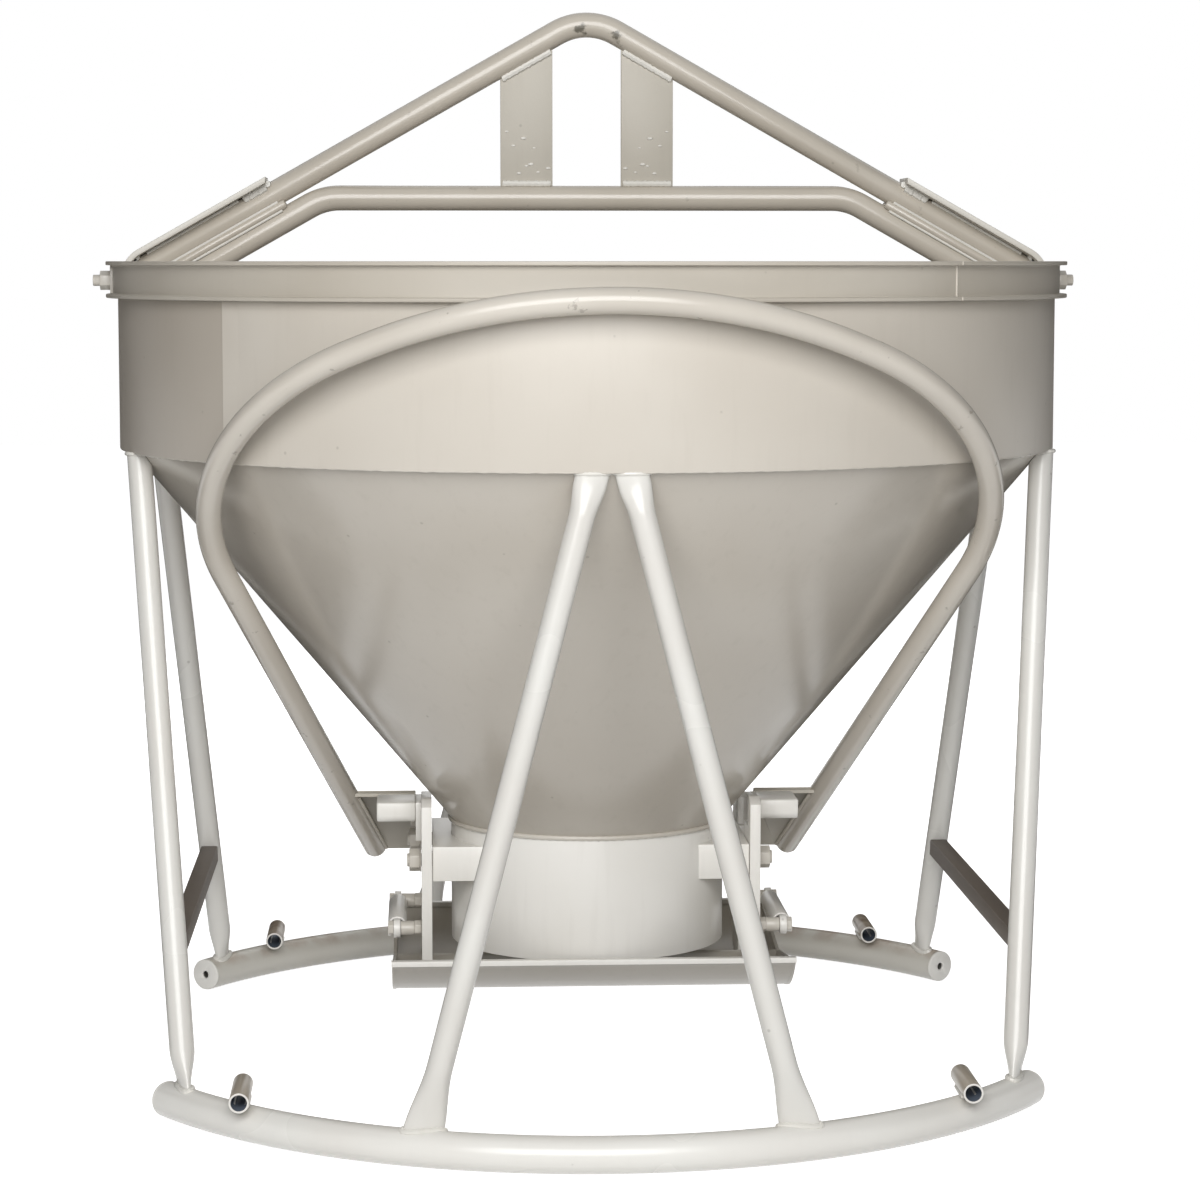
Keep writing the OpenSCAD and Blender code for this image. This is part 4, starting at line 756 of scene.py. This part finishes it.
for kind, ease, coat in (("gusset", 1.5, plate_paint), ("hub", 2.0, gate_paint), ("block", 3.0, gate_paint)):
    for word in ("left", "right"):
        node = "handle_" + kind + "_" + word
        piece(node + "_plate", eased(node, ease), coat, "rear_gate", "frame_paint", node)
piece("handle_bolts_hexagon", eased("handle_bolts", 1.2), fastener_paint, "rear_gate", "painted_fasteners",
      "handle_bolts")
# beads on both faces of each gusset, where it meets the loop's leg
gusset_weld = bmesh.new()
for side in (-1, 1):
    for face in (-5.5, 5.5):
        path = [in_place @ Vector((side * (foot_x + (12 + 3.4 * i) * tan(lean) - LOOP_PIPE / cos(lean) * 0.97),
                                   12 + 3.4 * i, face)) for i in range(50)]
        bead(gusset_weld, path, 3.2)
piece("gusset_welds", gusset_weld, weld_paint, "rear_gate", "frame_paint")


# Studio: a pale floor and white surroundings, as in a catalogue photograph. One broad soft lamp stands by the
# camera and a weaker one behind, and dark cards at the sides give the round pieces their darker edges.
def seen_directly(tree):
    """1 for the rays that meet a white studio: from the camera, off gloss and through glass."""
    ray = add(tree, "ShaderNodeLightPath")
    seen = add(tree, "ShaderNodeMath", {0: (ray, "Is Camera Ray"), 1: (ray, "Is Glossy Ray")}, operation="MAXIMUM")
    return add(tree, "ShaderNodeMath", {0: (seen, "Value"), 1: (ray, "Is Transmission Ray")}, operation="MAXIMUM")


floor = bpy.data.meshes.new("floor")
bm = bmesh.new()
bmesh.ops.create_grid(bm, x_segments=1, y_segments=1, size=20)
bm.to_mesh(floor)
bm.free()
floor_obj = bpy.data.objects.new("floor", floor)
bpy.context.scene.collection.objects.link(floor_obj)
paper = bpy.data.materials.new("matt white backdrop paper")
paper.use_nodes = True
tree = paper.node_tree
tree.nodes.clear()
seen = seen_directly(tree)
matt = add(tree, "ShaderNodeBsdfDiffuse", {"Color": linear("#e6e6e6")})
# the paper glows so that it comes out white, a little less close by so that the shadow shows
place = add(tree, "ShaderNodeTexCoord")
away = add(tree, "ShaderNodeVectorMath", {0: (place, "Object")}, operation="LENGTH")
level = add(tree, "ShaderNodeMapRange", {"Value": (away, "Value"), "From Min": 1.0, "From Max": 2.4,
                                         "To Min": 0.84, "To Max": 1.0})
glow = add(tree, "ShaderNodeEmission", {"Color": (1, 1, 1, 1), "Strength": (level, "Result")})
bright = add(tree, "ShaderNodeAddShader", {0: (matt, "BSDF"), 1: (glow, "Emission")})
mixed = add(tree, "ShaderNodeMixShader", {0: (seen, "Value"), 1: (matt, "BSDF"), 2: (bright, "Shader")})
add(tree, "ShaderNodeOutputMaterial", {"Surface": (mixed, "Shader")})
floor.materials.append(paper)

world = bpy.data.worlds.new("studio")
bpy.context.scene.world = world
world.use_nodes = True
tree = world.node_tree
tree.nodes.clear()
seen = seen_directly(tree)
fill = add(tree, "ShaderNodeBackground", {"Color": (1, 1, 1, 1), "Strength": 0.09})
white = add(tree, "ShaderNodeBackground", {"Color": (1, 1, 1, 1), "Strength": 1.0})
mixed = add(tree, "ShaderNodeMixShader", {0: (seen, "Value"), 1: (fill, "Background"), 2: (white, "Background")})
add(tree, "ShaderNodeOutputWorld", {"Surface": (mixed, "Shader")})

# the main lamp, and a weaker one behind that gives no highlights, so that the back isn't left in the dark
for name, size, power, at, tip in (("camera_softbox", (5.0, 4.0), 460, (-0.6, -6.6, 3.4), radians(74)),
                                   ("back_softbox", (5.0, 3.0), 230, (0.6, 6.0, 3.2), radians(-74))):
    lamp = bpy.data.lights.new(name, "AREA")
    lamp.shape = "RECTANGLE"
    lamp.size, lamp.size_y = size
    lamp.energy = power
    lamp_obj = bpy.data.objects.new(name, lamp)
    lamp_obj.location = at
    lamp_obj.rotation_euler = (tip, 0, 0)
    lamp_obj.visible_glossy = name == "camera_softbox"
    bpy.context.scene.collection.objects.link(lamp_obj)

card_paint = bpy.data.materials.new("black felt card")
card_paint.use_nodes = True
card_paint.node_tree.nodes["Principled BSDF"].inputs["Base Color"].default_value = linear("#2a2724")
card_paint.node_tree.nodes["Principled BSDF"].inputs["Roughness"].default_value = 1.0
for side in (-1, 1):
    # a card beside the drum, one behind the object's edge, which darkens the grazing reflections there, and two
    # on the floor, beside the object and behind it
    for where, turn, size, at in (("side", "Y", 1.6, (side * 2.6, -0.2, 2.6)),
                                  ("back", "X", 1.3, (side * 1.7, 2.2, 1.31)),
                                  ("floor", "Z", 1.0, (side * 2.05, 0.7, 0.004)),
                                  ("rear_floor", "Z", 1.2, (side * 1.25, 2.5, 0.004))):
        card = bpy.data.meshes.new(where + "_card")
        bm = bmesh.new()
        bmesh.ops.create_grid(bm, x_segments=1, y_segments=1, size=size)
        bmesh.ops.rotate(bm, verts=bm.verts[:], cent=(0, 0, 0), matrix=Matrix.Rotation(pi / 2, 3, turn))
        bmesh.ops.translate(bm, verts=bm.verts[:], vec=at)
        bm.to_mesh(card)
        bm.free()
        card_obj = bpy.data.objects.new(where + "_card_" + ("left" if side < 0 else "right"), card)
        bpy.context.scene.collection.objects.link(card_obj)
        card.materials.append(card_paint)
        card_obj.visible_camera = False
        card_obj.visible_shadow = False
        card_obj.visible_diffuse = "floor" not in where

bpy.context.scene.view_settings.view_transform = "Standard"
camera = bpy.data.cameras.new("photo_camera")
camera.lens, camera.sensor_width = 99.2, 36.0
camera_obj = bpy.data.objects.new("photo_camera", camera)
CAMERA_AWAY, CAMERA_TURN = 5.984, radians(2.8)
camera_obj.location = (-CAMERA_AWAY * sin(CAMERA_TURN), -CAMERA_AWAY * cos(CAMERA_TURN), 1.434)
camera_obj.rotation_euler = (radians(84.15), 0, radians(-3.03))
bpy.context.scene.collection.objects.link(camera_obj)
bpy.context.scene.camera = camera_obj

bpy.context.view_layer.update()
